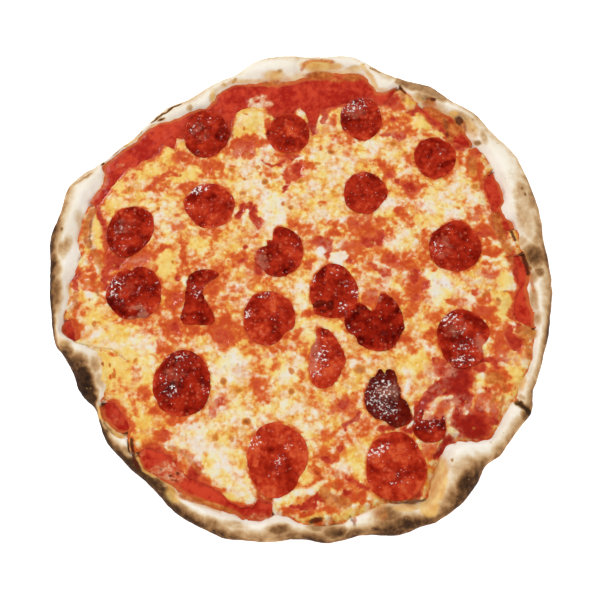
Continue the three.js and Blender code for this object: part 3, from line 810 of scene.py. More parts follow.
# Salami slices, numbered from the far side to the near side, the half covered one last
sliceForm = {
    "bottom": 8.6, "depth": 1.15, "dish": 0.15, "sectors": 132, "rings": 26, "edgeSteps": 6,
    "edgeRound": 0.55, "curl": 0.35, "ragged": [(6, 0.45), (2.6, 0.3)],
    "relief": [(7, 0.3), (2.6, 0.2), (1.3, 0.1)],
    "waves": [(3, 0.025, 1.7), (5, 0.015, 2.9)],  # of the outline: count, height, shift
    "crumpled": {"number": 18, "ragged": 1.4, "relief": 2.2},
    # x, y, half width, half height, turn, dents of the outline (direction, spread, depth), redness
    "slices": [
        (-63.5, 106.5, 15.3, 18, 0, [], 0.43), (-7.5, 107, 14.7, 15.2, 0, [], 0.55),
        (42.5, 118, 14.3, 16.3, 0, [], 0.5), (92, 88.5, 14.2, 15.5, 0, [], 0.55),
        (44.4, 62, 14.9, 15.3, 0, [(325, 25, 1.8)], 0.6),
        (-60.5, 52.5, 16.5, 16.5, 0, [(10, 18, -2), (215, 30, 2)], 0.58),
        (-112, 34.5, 15, 18.5, -25, [], 0.45),
        (-13, 20, 15.5, 18, 0, [(120, 15, 8), (152, 19, 6.5), (204, 14, -2)], 0.48),
        (102.4, 23.6, 17.3, 18.3, 0, [(123, 25, 1.8)], 0.5),
        (-107, -9.5, 18, 18.7, 0, [(100, 10, 2), (280, 12, 1.5)], 0.38), (-68, -7, 10, 18.5, 0, [], 0.44),
        (-19.5, -26.5, 16.8, 18.3, 0, [(315, 16, 2.5)], 0.62),
        (22.5, -8.5, 15.7, 19, 0, [(232, 8, -1.5)], 0.46), (49.5, -29.5, 18.3, 18.3, 0, [], 0.32),
        (105, -40, 16.6, 19.8, 0, [(335, 16, 3.5)], 0.47), (17.5, -54, 12, 19.3, 0, [], 0.68),
        (-74, -70.5, 18.3, 21.8, 0, [], 0.42), (55, -79, 14, 17, 0, [], 0.3),
        (-13.4, -118.8, 18.8, 23.6, 0, [(322, 18, 2.5)], 0.74), (59.5, -123.5, 18.7, 21.8, 0, [], 0.68),
        (81, -97.5, 11, 11, 0, [(170, 25, 2)], 0.4),
    ],
    # slices that aren't round: angle and radius of the outline
    "outlines": {
        11: [
            (0, 5.2), (15, 5.8), (29, 8.1), (31, 13), (33, 19.4), (37, 19.4), (42, 18.2), (60, 16),
            (81.5, 13.5), (100, 11.7), (125, 8.6), (158, 5.7), (180, 5.5), (207, 6.7), (232, 9),
            (240, 13.5), (247, 22), (255, 24.5), (270, 24), (295, 26), (303, 25.4), (307, 21), (311, 14),
            (317, 9), (330, 6.2), (349, 5.3),
        ],
        14: [
            (0, 17.6), (8, 17.7), (31.5, 18.2), (49, 19.1), (65, 20.4), (74.5, 20.7), (80, 19.8),
            (84, 16.5), (87.5, 11.5), (95, 8.8), (110, 8.3), (116, 9.8), (121, 14), (128, 17.2),
            (140, 18.6), (150, 19.8), (160, 20.6), (170, 20.7), (181, 20.4), (195, 20), (204, 18.5),
            (211, 16.4), (219, 16.7), (231, 18.5), (250, 18.7), (271, 19.5), (292, 20), (306, 19.3),
            (317, 18.4), (331, 17.7), (349, 18.3),
        ],
        16: [
            (0, 12.1), (35, 12.2), (55, 13.3), (69, 15.5), (81, 18.2), (91, 20.2), (102, 21.2), (109, 20.6),
            (112.5, 18), (115.5, 15.4), (124, 13.3), (140, 12.4), (159, 11.2), (185, 11), (217, 13.4),
            (232, 16.4), (242, 19.2), (251, 20), (263, 19.7), (278, 18.2), (292, 16.2), (303, 13.7),
            (324, 11.8), (345, 11.9),
        ],
        18: [
            (0, 8.6), (7, 8.6), (24, 9.8), (40, 10.4), (54, 11.1), (58, 13), (65, 15.4), (73.5, 17.7),
            (83.5, 17.9), (90, 17.2), (93.5, 14.2), (97, 18), (101, 19), (105, 18.3), (110, 16.6),
            (117.5, 15.2), (128.5, 16), (141, 14.2), (159, 13.9), (176, 14), (192, 14.3), (208, 14.8),
            (226, 15.2), (240, 16.1), (252, 15.8), (266, 16), (279, 19.2), (289, 21.2), (299, 21.6),
            (309, 21.8), (318, 20.3), (326, 17.8), (337, 15.2), (348, 12.7), (352, 10.1),
        ],
    },
    # where fat stands on a slice: a glossy coat there, and painted white glints
    "glossAndPaintedGlints": [
        (-72, 109, 5, 7, 0.4), (-121, -10, 3, 4, 0.9), (-60, 117, 5, 4, 0.4), (38, 128, 11, 5, 0.75, 25),
        (96, 93, 3, 3, 0.5), (42, 75, 4, 2.5, 0.6), (-66, 65, 8, 3, 0.85, 25), (-73, 51, 3, 4, 0.5),
        (-57, 37, 2, 2, 0.6), (-115, 22, 4, 3, 0.45), (-118, 38, 6, 3, 0.4, 30), (-3, 24, 4, 3, 0.4),
        (-6, 13.5, 2, 2, 0.5), (91, 22, 5, 6, 0.65, 20), (98, 37, 3, 2, 0.45), (-119, -3, 5, 5, 0.65, 20),
        (-115, -16, 4, 3, 0.55), (-97, -6, 3, 2, 0.45), (-68, -7, 3, 5, 0.65, 20),
        (-33, -24, 3, 4, 0.9, -30), (-22, -11, 5, 2, 0.8, 20), (-16, -26, 4, 4, 0.4),
        (36, -10, 2.5, 4, 0.85, 30), (28, -19, 4, 3, 0.85, 30), (9, 0, 3, 2, 0.6, 40), (23, 5, 5, 3, 0.5),
        (32, -3, 4, 3, 0.55), (32, -33, 3, 2, 0.75, 30), (36.5, -36, 3, 2, 0.75, 20), (54, -37, 2, 2, 0.6),
        (97, -27, 7, 4, 0.9, 15), (104, -34, 5, 4, 0.6), (110, -43, 4, 5, 0.55), (104, -55, 9, 4, 0.8, 10),
        (14, -53, 4.5, 10, 0.8, -10), (10.5, -64, 4, 4, 0.75), (104, -46, 8, 5, 0.6), (14, -41, 4, 3, 0.55),
        (-75, -53, 9, 5, 0.6), (-81, -75, 6, 6, 0.65), (-75, -63, 6, 5, 0.45), (-86, -68, 4, 4, 0.6),
        (-59, -74, 2.5, 4, 0.6), (51.5, -79, 10.5, 12, 0.72, -10), (56, -89, 6, 4, 0.7),
        (54, -70, 7, 3, 0.85), (-27, -108, 5, 4, 0.8, 20), (-7, -110, 3, 2, 0.7, 20),
        (-12, -120, 3, 5, 0.75, -30), (-15, -126, 3, 3, 0.55), (49, -113.5, 9, 3, 0.95, 30),
        (60, -130, 8, 6, 0.4), (82, -92, 11, 9, 0.6),
    ],
    # where melted cheese covers a slice, and painted pinkish sheen on some slices
    "film": [
        (-24, 13, 4.5, 6, 0.7, 35), (-105, -19.5, 7, 1.6, 0.75), (-101, -25, 4, 3.5, 0.85, 30),
        (-107, -28, 3.5, 3, 0.8), (47, -14, 6, 4, 0.65), (9, -50, 3.5, 14, 0.75), (116, -44, 4, 6, 0.8, 20),
        (100, -33, 8, 6, 0.45, 20), (-79, -66, 6, 8, 0.38), (-68, 108, 6, 8, 0.35), (-116, 37, 6, 6, 0.35),
        (95, 22, 6, 7, 0.45), (-113, -6, 7, 7, 0.25), (56, -76, 7, 7, 0.5), (38, 123, 8, 5, 0.45),
    ],
    "burntSlices": (13, 18),
    "burnt": [
        (55, -79, 20, 22, 1), (13, -17, 5, 2.5, 0.9, 20), (20, -18, 3, 4, 0.7), (16, -22, 3, 1.5, 0.6),
    ],
}


def sliceRadius(number, angle):
    x, y, across, along, turn, dents, redness = sliceForm["slices"][number - 1]
    if number in sliceForm["outlines"]:
        return lineRound(sliceForm["outlines"][number], angle)
    own = np.radians(angle - turn)
    oval = across * along / np.hypot(along * np.cos(own), across * np.sin(own))
    waves = sum(share * np.sin(count * own + shift * number) for count, share, shift in sliceForm["waves"])
    return oval * (1 + waves) - swells(angle, dents)


def makeSlice(number, material):
    form = sliceForm
    x, y, across, along, turn, dents, redness = form["slices"][number - 1]
    crumpled = form["crumpled"] if number == form["crumpled"]["number"] else {"ragged": 1, "relief": 1}
    angle = np.arange(form["sectors"]) * 360 / form["sectors"]
    edge = sliceRadius(number, angle)
    edge = edge + crumpled["ragged"] * unevenness(onCircle(edge, angle) + (x, y, 0), form["ragged"], 201)
    half, depth = form["depth"] / 2, form["depth"]
    rings = []  # sides: 0 under, 1 on top
    for share in (0.3, 0.7, 0.93):
        rings.append((edge * share, 0 * edge, 0))
    for step in range(form["edgeSteps"] + 1):
        share = step / form["edgeSteps"]
        lean = (share - 0.5) * np.pi
        inset = form["edgeRound"] * half * (1 - np.cos(lean))
        rings.append((edge - inset, half + half * np.sin(lean) + 0 * edge, share))
    for step in range(1, form["rings"]):
        share = 1 - step / form["rings"]
        level = depth - form["dish"] * (1 - share ** 2)
        rings.append(((edge - form["edgeRound"] * half) * share, level + 0 * edge, 1))
    points, side = turnedPoints(rings, angle)
    points[:, :2] += (x, y)
    x, y = points[:, 0], points[:, 1]
    reach = np.concatenate([(np.array([ring[0] for ring in rings]) / edge).ravel(), [0, 0]])
    lift = unevenness(points, form["relief"], 100 + number * 3)
    curl = form["curl"] * lumps(flatPoints(x, y), 14, 77) * reach ** 2
    points[:, 2] += form["bottom"] + side * lift * crumpled["relief"] + curl
    fields = {
        "redness": np.full(len(points), redness),
        "rim": smooth((reach - 0.86) / 0.14),
        "glossAndPaintedGlints": spotField(x, y, form["glossAndPaintedGlints"], 0.6),
        "film": spotField(*strayed(x, y, 0.8, 0.6, 41), form["film"]),
        "burnt": spotField(x, y, form["burnt"], 0.3) * (number in form["burntSlices"]),
    }
    faces = turnedFaces(len(rings), form["sectors"])
    name, node = f"spicySalami_{number:02d}", f"salami_{number:02d}"
    return makePiece(name, points, faces, fields, material, node)


def salamiMaterial():
    material, tree, shader = newMaterial("spicySalami")
    tone = plus(tree, field(tree, "redness"), ripple(tree, 11, 2, 0.5, 0.4), 1.6)
    tone = plus(tree, tone, ripple(tree, 2.6, 2, 0.5, 0.3), 0.75)
    tone = plus(tree, tone, field(tree, "rim"), 0.12)
    colour = colourRamp(tree, tone, [(0, "#4a0502"), (0.25, "#761006"), (0.5, "#9a200e"), (0.75, "#b8331a"),
                                     (1, "#d2562f")])
    colour = cover(tree, colour, dots(tree, 310, 0.3, 0.42), 0.4, tint("#cf6848"))  # bits of fat
    colour = cover(tree, colour, ragged(tree, field(tree, "burnt"), 350, 0.5, 0.2), 0.7, tint("#4a0d06"))
    # pinkish film: melted cheese on some slices, painted sheen on others
    colour = cover(tree, colour, ragged(tree, field(tree, "film"), 260, 1.7, 0.4), 0.42, tint("#d08a6e"))
    # painted highlights: near-white glints laid into the colour where fat stands; the same mask lowers the
    # roughness and raises the bump
    shine = stretch(tree, field(tree, "glossAndPaintedGlints"), 0, 1, 0.2, 0.43)
    glint = ragged(tree, shine, 520, 1.5, 0.08)
    height = plus(tree, placeGroup(tree, grain, "Height", Scale=480, Fine=0.5), glint, 0.6)
    feed(tree, shader, {
        "Base Color": cover(tree, colour, glint, 0.9, tint("#fff2ea")), "Specular IOR Level": 0,
        "Roughness": stretch(tree, glint, 0, 1, 0.5, 0.25), "Coat Roughness": 0.1,
        "Coat Weight": stretch(tree, field(tree, "glossAndPaintedGlints"), 0, 0.8, 0.1, 0.8),
        "Normal": bumpNormal(tree, height, 0.5, 0.5),
    })
    return material


# Mozzarella: melted over the sauce, with domes, pools and stains
cheeseForm = {
    "cells": 290, "bottom": 6.8, "depth": 2.4, "leastDepth": 0.25, "edgeDepth": 0.3, "edgeSlope": 8,
    "middle": 140, "climb": 4.5, "tongueClimb": 11.5, "tongueAt": 207.5, "tongueSpread": 4.5,
    "film": 0.5, "sunk": 1,  # on the rim: depth of the film, and how far its edge sinks in
    "sliceEdge": 0.3, "sliceBed": 0.6,  # rise round a slice, and how far the cheese gives under it
    "tone": 0.46, "goldTone": 0.41, "soaked": 0.38,
    "ragged": [(6, 0.8), (2.6, 0.56)], "relief": [(11, 0.4), (4.6, 0.26), (2.2, 0.16)],
    "mottle": [(15, 0.1), (6.5, 0.18), (3, 0.14)],
    "tintWidth": 3.6,  # how far sauce and oil creep in from the edge
    # x, y, radius, height
    "domes": [
        (-34.5, 117, 12, 3), (84, 114, 8, 2.2), (-86.5, 14, 7, 2), (128, -17, 9, 3), (88, -4, 10, 1.5),
        (84, -88, 11, 2.8), (-42, -70, 9, 1.5), (-45, -102, 11, 1.5), (70, 30, 12, 1.5),
    ],
    "halfCovered": (21, -93.5),  # a slice, and the y beyond which cheese covers it
}

cheeseStain = {
    # paler cheese; the brightest spots, with amounts above 1, include painted white glints
    "pale": [
        (-20, 84, 20, 6, 0.65), (14, 85, 9, 10, 0.7), (-22, 93, 8, 6, 0.9, 20), (-17, 50, 9, 13, 1),
        (-34, 46, 2.6, 6, 1, -10), (-92, 42, 12, 14, 0.5), (-112, 71, 7, 5, 0.5), (-103, 60, 7, 4, 0.4),
        (90, -4, 10, 13, 1), (68, 27, 10, 8, 0.8), (90, 52, 16, 9, 0.6), (108, 67, 8, 10, 0.55),
        (62, 90, 8, 6, 0.5), (13, 20, 4.4, 4.4, 1.3), (26, 15.5, 5.4, 5, 1.4), (27, 25.5, 5, 2.2, 1.1, 15),
        (43, 2, 4.5, 4, 0.9), (2, -11, 4.5, 10, 0.8), (-9, -65, 6, 7, 1.2), (-42, -60, 11, 10, 0.95),
        (-10, -87, 14, 6, 0.5), (-47, -119, 11, 12, 0.7), (-66, -106, 13, 12, 0.7), (-98, -42, 12, 9, 0.8),
        (-74, 0, 2.2, 6, 1.3, 20), (-129, -37, 3, 3.4, 1.4), (-135, -13, 5, 6, 0.7),
        (110, -14, 3, 9, 1.2, 40), (117, -1, 4, 3, 1.1), (129, 26, 3, 3, 0.9), (125, 15, 5, 1.7, 0.9),
        (136, 11, 2.5, 3, 1), (119, -42, 3, 5, 1), (80.5, -76.5, 3, 2, 0.8, 30), (1, 88, 3.4, 3, 1),
        (1, 123, 3, 4, 0.8), (14, 115, 3, 4, 0.6), (0, -60, 6, 6, 0.6), (36, -62, 6, 8, 0.4),
        (70, -67, 7, 9, 0.5), (-5, 62, 12, 8, 0.4), (48, 88, 8, 5, 0.5), (-38, -88, 10, 8, 0.6),
        (-52, 23, 4, 5, 0.4), (105, -7, 6, 5, 0.4), (-35, -134, 7, 4, 0.7, -20), (143, -58, 4, 3, 0.5),
        (58, 1, 4, 9, 0.6), (-53, 42, 4, 7, 0.7, 30), (-62, -40, 3, 2, 0.3), (-6, 75, 5, 6, 0.3),
        (12, 45, 8, 6, 0.6), (116, 58, 4, 4, 0.6), (31, 90, 6, 8, 0.5), (-24, -78, 3, 2, 0.9),
        (131, -6, 2.4, 1.6, 0.7, 20), (-4, 55, 3, 4, 0.5), (27, 47, 4, 4, 0.6),
        (-14, -145.5, 5, 2.5, 0.9, 35), (-3, -140.5, 7, 2, 0.7, 8), (14.5, -132.8, 2, 1.6, 0.9),
        (-131.5, 5, 1.5, 3.5, 0.9), (-137, -10, 3.5, 4, 0.8), (-142, 14, 2.5, 4, 0.35),
        (-126, -41, 7, 4, 0.5, -10), (125, 46, 3, 3, 0.7), (140, 26, 1.8, 3, 0.9), (136, 0, 3, 5, 0.6),
        (114.8, -67.5, 2.2, 7.5, 0.85, -8), (133, -80.5, 3.6, 3, 0.5), (137.5, -31, 2, 2, 1),
        (84.5, 114.5, 3.2, 6.5, 0.3), (-17, 122.5, 3, 1.1, 0.8), (8, -98, 7, 9, 0.7), (24, -98, 5, 5, 0.5),
        (-37, -9, 7, 6, 0.7), (-34, 66, 8, 8, 0.8), (8, -31, 7, 3, 0.7), (57, 54, 6, 7, 0.8),
        (31, 43, 4, 5, 0.6), (-18, 30, 4.5, 9, 0.7, -15), (80, 101, 7, 5, 0.6), (74, 91, 5, 6, 0.5),
        (75, 76, 4, 6, 0.6), (122, 56, 7, 9, 0.7), (106, 47, 10, 4, 0.6, 25), (90, 38, 11, 4, 0.5, 20),
        (-56, -45, 7, 4, 0.4), (-52, -66, 5, 7, 0.6), (-125, -44, 14, 4, 0.6, -8), (28, -126, 6, 6, 0.6),
        (22, 103, 4, 6, 0.5), (30, 77, 8, 7, 0.4), (13, 66, 6, 5, 0.4), (-45, 45, 3, 8, 0.6),
        (-122, -11, 5, 5, 1.1), (-23, -68, 7, 3, 0.5), (68, 17, 4, 4, 0.6), (65, -5, 4, 4, 0.5),
        (82, -46, 4, 6, 0.6, -30), (-62, -122, 9, 6, 0.7, -40), (-46, -133, 10, 5, 0.7, -30),
        (-32, -143, 8, 3.5, 0.8, -20), (-75, -114, 6, 5, 0.6, -30), (-84, -28, 4, 5, 0.5),
        (140, 3, 4, 6, 0.7), (12, 36, 7, 4, 0.9), (36, 20, 3.5, 2.5, 1), (3, 124, 3, 4, 0.9),
        (-25, -97, 8, 6, 0.6), (-50, -97, 5, 6, 0.5), (1, -132, 3.5, 3, 0.8), (-14, -150, 8, 2.5, 0.9, 10),
        (-38, -126, 4, 7, 0.7), (-72, -115, 6, 3, 0.7, -30), (95, 39, 9, 5, 0.55, 25), (48, 99, 5, 6, 0.7),
        (25, 103, 3, 4, 0.6), (-40, -15, 10, 3.5, 0.7, -5), (-6, -48, 4, 6, 0.8), (-19, -54, 5, 4, 0.6),
        (-24, -68, 5, 4, 0.8), (-70, -48, 4, 5, 0.5), (-97, -54, 5, 4, 0.8), (84, -25, 4, 4, 0.6),
        (40, -95, 4, 4, 0.5), (-18, 68, 3, 4, 0.7), (-29, 60, 3, 4, 0.6), (-33, 117, 10, 8, 0.42),
        (130, 53, 4, 5, 0.8), (70, 18, 4, 4, 0.7), (5, -38, 6, 5, 0.9), (-14, -72, 5, 4, 0.7),
        (140, -3, 3, 5, 0.8), (54, -6, 4, 4, 0.8), (70, 0, 3, 5, 0.6), (5, -106, 3, 5, 0.9),
        (-51, -65, 5, 6, 0.8), (-100, 52, 6, 5, 0.6), (118, 100, 4, 4, 0.7), (30, 72, 7, 6, 0.4),
        (90, 64, 10, 3, 0.5), (-36, 84, 12, 6, 0.45), (-101, -58, 6, 3, 0.5, -20),
    ],
    "paleLines": [
        ([(-18, -147), (-10, -143), (0, -139.5), (9, -137.5), (14.5, -132.5)], 1.8, 0.85),
        ([(121, 15.5), (132, 15)], 1.2, 0.9), ([(84.5, -86), (87, -81), (91, -79.5), (96, -79)], 1.5, 0.9),
        ([(96, -83), (94.5, -90), (92.5, -97), (91, -103)], 1.8, 0.75),
        ([(95, -100.5), (97.5, -103)], 2.2, 0.95), ([(104, -86), (105, -89)], 1.2, 0.8),
        ([(77, -93), (80, -90.5), (83, -90)], 2.2, 0.75), ([(122, -75), (125, -80)], 1.2, 0.8),
        ([(118, -82), (119, -90)], 1.3, 0.7), ([(70.8, -86), (71.3, -91)], 0.9, 1),
        ([(71, -95), (68.5, -98.5)], 0.9, 1), ([(74, -108.5), (80, -109.5), (85, -108)], 1, 0.7),
    ],
    "gold": [
        (-34.5, 117, 12, 10.5, 0.42), (84, 114.5, 5, 6.5, 0.9), (-88, 12, 6.5, 9, 1),
        (-124, 55, 7, 6, 0.75, 20), (131, -17, 7.5, 9, 0.8), (-97, 80, 15, 5, 0.75, 8),
        (-80, 75, 5, 5, 0.9), (-88, 95, 4, 5, 0.8, 20), (-70, 78, 7, 6, 0.8), (-47, 26, 8, 7, 0.5),
        (45, 82, 8, 3, 0.5), (76, 112, 5, 5, 0.7), (96, 109, 3, 5, 0.8, -30), (-132, -23, 8, 5, 0.7),
        (-118, -38, 10, 5, 0.5, -15), (-22, -6, 7, 3, 0.3), (-21, -56, 7, 3, 0.4), (-15, -60, 6, 5, 0.6),
        (74, -55, 9, 7, 0.5), (85, -30, 7, 8, 0.6), (4, -128, 6, 6, 0.6), (-97, -70, 7, 8, 0.6),
        (-104, -85, 6, 7, 0.6, 30), (-98, -95, 8, 5, 0.6), (17, 55, 9, 5, 0.5), (20, -32, 8, 2.4, 0.8, -20),
        (5, -42, 6, 5, 0.7), (28, 116, 2.6, 6, 0.6), (135, 0, 5, 6, 0.6), (-43, -141, 5, 2, 0.8, -20),
        (-66, 26, 7, 5, 0.5), (35, -118, 6, 8, 0.5), (-43, 108, 4, 6, 0.6, 20), (70, -22, 7, 6, 0.4),
        (82, 42, 9, 4, 0.5), (134, -67, 7, 8, 0.9), (-134, -25, 6, 7, 0.8), (5, -129.5, 4, 5, 0.7),
        (30, -153, 5, 3, 0.7, -20), (-117, -62, 11, 16, 0.9, 25), (-108, -52, 6, 4, 0.7, -20),
        (130, -23.5, 7, 4.5, 0.8), (150, -36, 3, 3, 0.8), (75.5, 130, 4, 5, 0.5), (-121, 66, 6, 7, 0.8, 20),
        (-110, 82, 9, 4, 0.6, 35), (-86, 94, 9, 4, 0.6, 30),
    ],
    "goldLines": [
        ([(-134, 50), (-135, 42), (-134, 35), (-132.5, 28), (-130.5, 23)], 1.8, 0.9),
        ([(-129, -27), (-122, -31), (-114, -33)], 1.3, 0.7),
    ],
    "oil": [
        (-79, 88, 8, 6, 0.8, -30), (-62, 80, 5, 6, 0.95), (-38, 99, 9, 6, 0.95), (-12, 125, 9, 3.5, 0.9),
        (24, 118, 3.5, 5, 0.6), (25, 103, 4, 5, 0.7, 20), (95, 116, 5, 6, 0.8), (110, 88, 3, 5, 0.7),
        (117, 83, 4, 7, 0.9), (62, 117, 7, 9, 0.6), (-55, 82, 5, 4, 0.9), (-46, 80, 3, 2.4, 0.8),
        (-90, 22, 5, 1.8, 0.9), (-81, 46, 4, 1.6, 0.85, 10), (-80, 35, 8, 6, 0.5), (-76, 28, 4, 4, 0.65),
        (-137, 4, 6, 6, 0.75), (-134, 17, 4, 6, 0.85, -30), (-80, -14, 8, 9, 0.95),
        (-76, -33, 15, 8, 1, -5), (-88, -44, 4, 5, 0.9), (-57, -33, 12, 5, 0.85), (-47, -34, 10, 13, 0.9),
        (-40, 15, 7, 6, 0.55), (-44, -14, 8, 4, 0.6), (0, 32, 5, 6, 0.5), (6, 11, 3.5, 4, 0.9),
        (22, 40, 5, 3, 0.8), (40, 36, 12, 11, 0.8), (14, 54, 4, 2.4, 0.7), (67, 48, 4, 5, 0.9),
        (73, 43, 4, 5, 0.7), (65, 13, 12, 8, 0.9), (76, -6, 8, 12, 0.95), (66, -13, 9, 6, 0.7),
        (121, 34, 8, 6, 0.85), (128, 46, 6, 5, 0.6), (126, 20, 9, 4, 0.8), (122, 4, 6, 4, 0.7),
        (121, -18, 4, 9, 0.9), (68, -40, 6, 6, 0.75), (88, -38, 3, 7, 0.6), (-98, -76, 5, 6, 0.9),
        (-88, -98, 6, 4, 0.3), (-86, -104, 5, 5, 1), (-25, -72, 7, 9, 0.7, 30), (29, -84, 8, 7, 0.8),
        (24, -106, 11, 6, 0.5), (18, -117, 9, 5, 0.8), (5, -134, 8, 4, 0.4), (25, -133, 12, 8, 0.55, -20),
        (40, -97, 8, 7, 0.6), (-78, -122, 8, 6, 0.8, -30), (0, -38, 5, 5, 0.8), (10, -36, 5, 3, 0.6, 20),
        (-48, -86, 6, 5, 0.4), (90, -86, 5, 4.5, 1.2), (80, -110, 6, 5, 0.9), (75, 86, 4, 6, 0.7),
        (60, 77, 6, 6, 0.5), (75, 66, 9, 8, 0.9), (-30, 8, 6, 6, 0.8), (117, -82, 6, 7, 0.8),
        (40, 46, 9, 4, 0.6), (54, -3, 5, 5, 0.5), (-115, 65, 4, 4, 0.6, 30), (-92, 66, 7, 4, 0.7, 20),
        (127, -66, 8, 7, 0.8), (-36, 32, 9, 5, 0.35), (146, -48, 6, 6, 0.5), (-88, 12, 7, 9, 0.3),
        (-98, 80, 13, 5, 0.4, 8), (-66, 8, 5, 5, 0.5), (-6, -46, 8, 5, 0.6), (23, -133, 7, 6, 0.85),
        (-6, -151, 8, 2.2, 1, -12), (4, -152, 6, 1.6, 1, 10), (-138, 3, 6, 8, 0.8),
        (-108, -93, 3, 9, 0.9, 35), (80, -114, 4, 6, 1), (120, -85, 6, 9, 0.7), (125, 19, 6, 3, 0.95),
        (124, 12, 5, 2, 0.9), (124, 55, 4.5, 5, 0.3), (-20, 124, 2.4, 4, 1), (-105, 15, 10, 6, 1, 35),
        (-97, 21, 7, 8, 0.7), (4, 35, 9, 5, 0.8), (8, 24, 4, 5, 0.6), (46, -13, 5, 6, 1.2),
        (-57, 33, 10, 6, 0.75), (-15, 90, 10, 6, 0.5, -30), (-27, 100, 7, 5, 0.7), (41, 12, 6, 5, 0.5),
        (35, 22, 8, 8, 0.8), (122, 27, 8, 4, 1), (132, 35, 4, 7, 0.9), (119, -21, 9, 6, 1.2),
        (72, -21, 7, 6, 0.9), (86, -26, 7, 5, 0.8), (103, -16, 8, 3, 0.9), (127, -44, 6, 11, 0.75),
        (-85, -48, 4, 6, 1), (-22, -50, 8, 5, 0.4), (-8, -38, 4, 4, 1), (-33, -38, 4, 4, 0.8),
        (-78, -93, 5, 4, 1), (-102, -85, 6, 6, 0.35), (-89, -88, 6, 3, 0.9), (-22, -80, 6, 4, 0.7),
        (-75, 66, 6, 5, 0.8), (-62, 76, 9, 4, 0.7), (-50, 95, 6, 5, 0.8), (-22, 3, 8, 7, 0.65),
        (-54, 0, 6.5, 12, 0.85), (20, -148, 10, 4, 0.7), (128, -73, 9, 4, 1), (122, 80, 3, 6, 1),
        (73, 112, 6, 7, 0.8), (68, 127, 6, 5, 0.9), (33, -142, 7, 4, 1), (-105, -29, 14, 3, 0.8),
        (-76, 6, 4, 6, 0.9), (-15, -59, 4, 6, 0.8), (1, -65, 3, 5, 0.6), (60, 31, 4, 6, 0.6),
        (75, 52, 8, 4, 0.4), (83, 45, 5, 6, 0.35), (82, 15, 4, 5, 0.8), (103, 76, 6, 4, 0.6),
        (115, 74, 5, 5, 0.7), (48, 85, 5, 4, 0.8), (35, 103, 3, 4, 0.7), (40, 4, 6, 5, 0.6),
        (84, -38, 4, 7, 0.9), (-113, -72, 6, 6, 0.6), (-104, -64, 4, 7, 0.7), (-40, -6, 7, 3.5, 0.6),
        (-95, 34, 5, 6, 0.6), (-68, 86, 4, 7, 0.7), (-84, 79, 5, 4, 0.6), (6, 82, 7, 4, 0.9),
        (-22, 78, 5, 4, 0.7), (-38, 92, 8, 4, 0.9), (-22, 113, 2.2, 6, 1.1), (120, 50, 4, 5, 0.8),
        (126, -27, 5, 3, 0.9), (-95, -36, 8, 5, 0.7), (-92, -20, 4, 5, 0.8), (-140, -22, 6, 5, 0.6),
        (-10, -41, 4, 5, 0.7), (5, -23, 4, 3, 0.8), (-30, -85, 7, 3, 0.5), (3, -116, 3, 7, 0.9),
        (9, -126, 5, 3, 0.8, -30), (-82, -89, 5, 3, 0.6), (-66, -97, 4, 4, 0.6), (-73, -104, 4, 4, 0.6),
        (-128, -20, 5, 5, 0.5), (-57, -18, 5, 5, 0.9), (-62, -5, 4, 5, 1), (-95, 8, 3.5, 4, 0.9),
        (72, -48, 4, 4, 0.8), (-80, -39, 5, 5, 0.8), (-30, -37, 5.5, 5.5, 1), (-16, -46, 5, 4, 0.8),
        (2, -46, 4, 5, 0.8), (-25, -57, 5, 4, 0.6), (54, 41, 4, 4, 0.8), (101, 74, 5, 4, 0.7),
        (54, 85, 7, 3, 0.8), (32, 93, 4, 4, 0.7), (-58, 76, 8, 3, 0.8), (-115, 74, 6, 3, 0.7, 35),
        (-38, 103, 8, 3, 0.9), (78, 108, 5, 4, 0.4), (92, 121, 5, 4, 0.8), (-132, -6, 5, 4, 0.8),
        (-55, 25, 9, 4, 0.45), (-17, -6, 5, 2.5, 0.8), (22, 34, 5, 4, 0.8), (12, -130, 5, 3, 0.7),
        (86, 107, 4, 3, 0.6), (-5, 38, 4, 5, 0.8), (29, -58, 3.5, 8, 0.7), (119, 94, 5, 4, 0.9),
    ],
    "oilLines": [
        ([(-101, 65), (-96, 71), (-90, 75), (-84, 76)], 2.4, 0.95), ([(-76, 22), (-74, 10)], 2, 0.9),
        ([(72, 112), (78, 100), (77, 84), (82, 76)], 2, 0.25), ([(84, 34), (83, 18), (88, 8)], 2.5, 0.8),
        ([(-130, 30), (-126, 12)], 2, 0.8), ([(-124, -6), (-126, -16)], 2, 0.5),
        ([(-55, 60), (-44, 45)], 2, 0.4), ([(-127, -49), (-120, -50)], 1, 0.6),
        ([(-120.5, -51.5), (-116, -52.5)], 1.1, 0.7),
        ([(-119.5, -66.5), (-117.5, -62), (-116.5, -66.5)], 1, 0.9), ([(112, 46), (120, 38)], 2, 0.5),
        ([(-106, -79), (-102, -87)], 2.4, 0.6),
    ],
    "red": [
        (-2, 81, 5, 5, 1), (-5, 90, 6, 3, 0.9), (-10, 66, 2.4, 3.4, 0.95, -20), (-38, 98, 8, 4, 0.7),
        (-33, 97, 4, 3.4, 0.85), (84, 126, 6, 3.4, 0.95), (-42, 92, 3, 3, 0.6), (62, 134, 7, 7, 1),
        (101, 114, 4, 8, 1, -8), (68, 105, 6, 4, 0.9, 10), (59, 106, 4, 2.4, 0.8), (64, 118, 2.6, 2.8, 0.8),
        (75, 66, 6, 4.6, 0.9), (61, 76, 4, 3.4, 0.8), (66, 71, 3, 3, 0.75), (111, 101, 5, 6, 1),
        (-120, 13, 8, 6, 1, 20), (-80, -32, 4, 4, 0.9), (-80, -12, 4, 4, 0.75), (-50, -38, 5, 7, 0.75, 20),
        (-38, 14, 2.8, 2.6, 0.85), (-35, 23.5, 1.9, 1.9, 0.85), (-27, 8, 3.6, 6, 1, 20),
        (13, 27, 5, 4, 0.95), (20, 21, 3, 3, 0.85, -30), (45, 27, 6, 6, 0.95), (33, 14, 2, 3, 0.9),
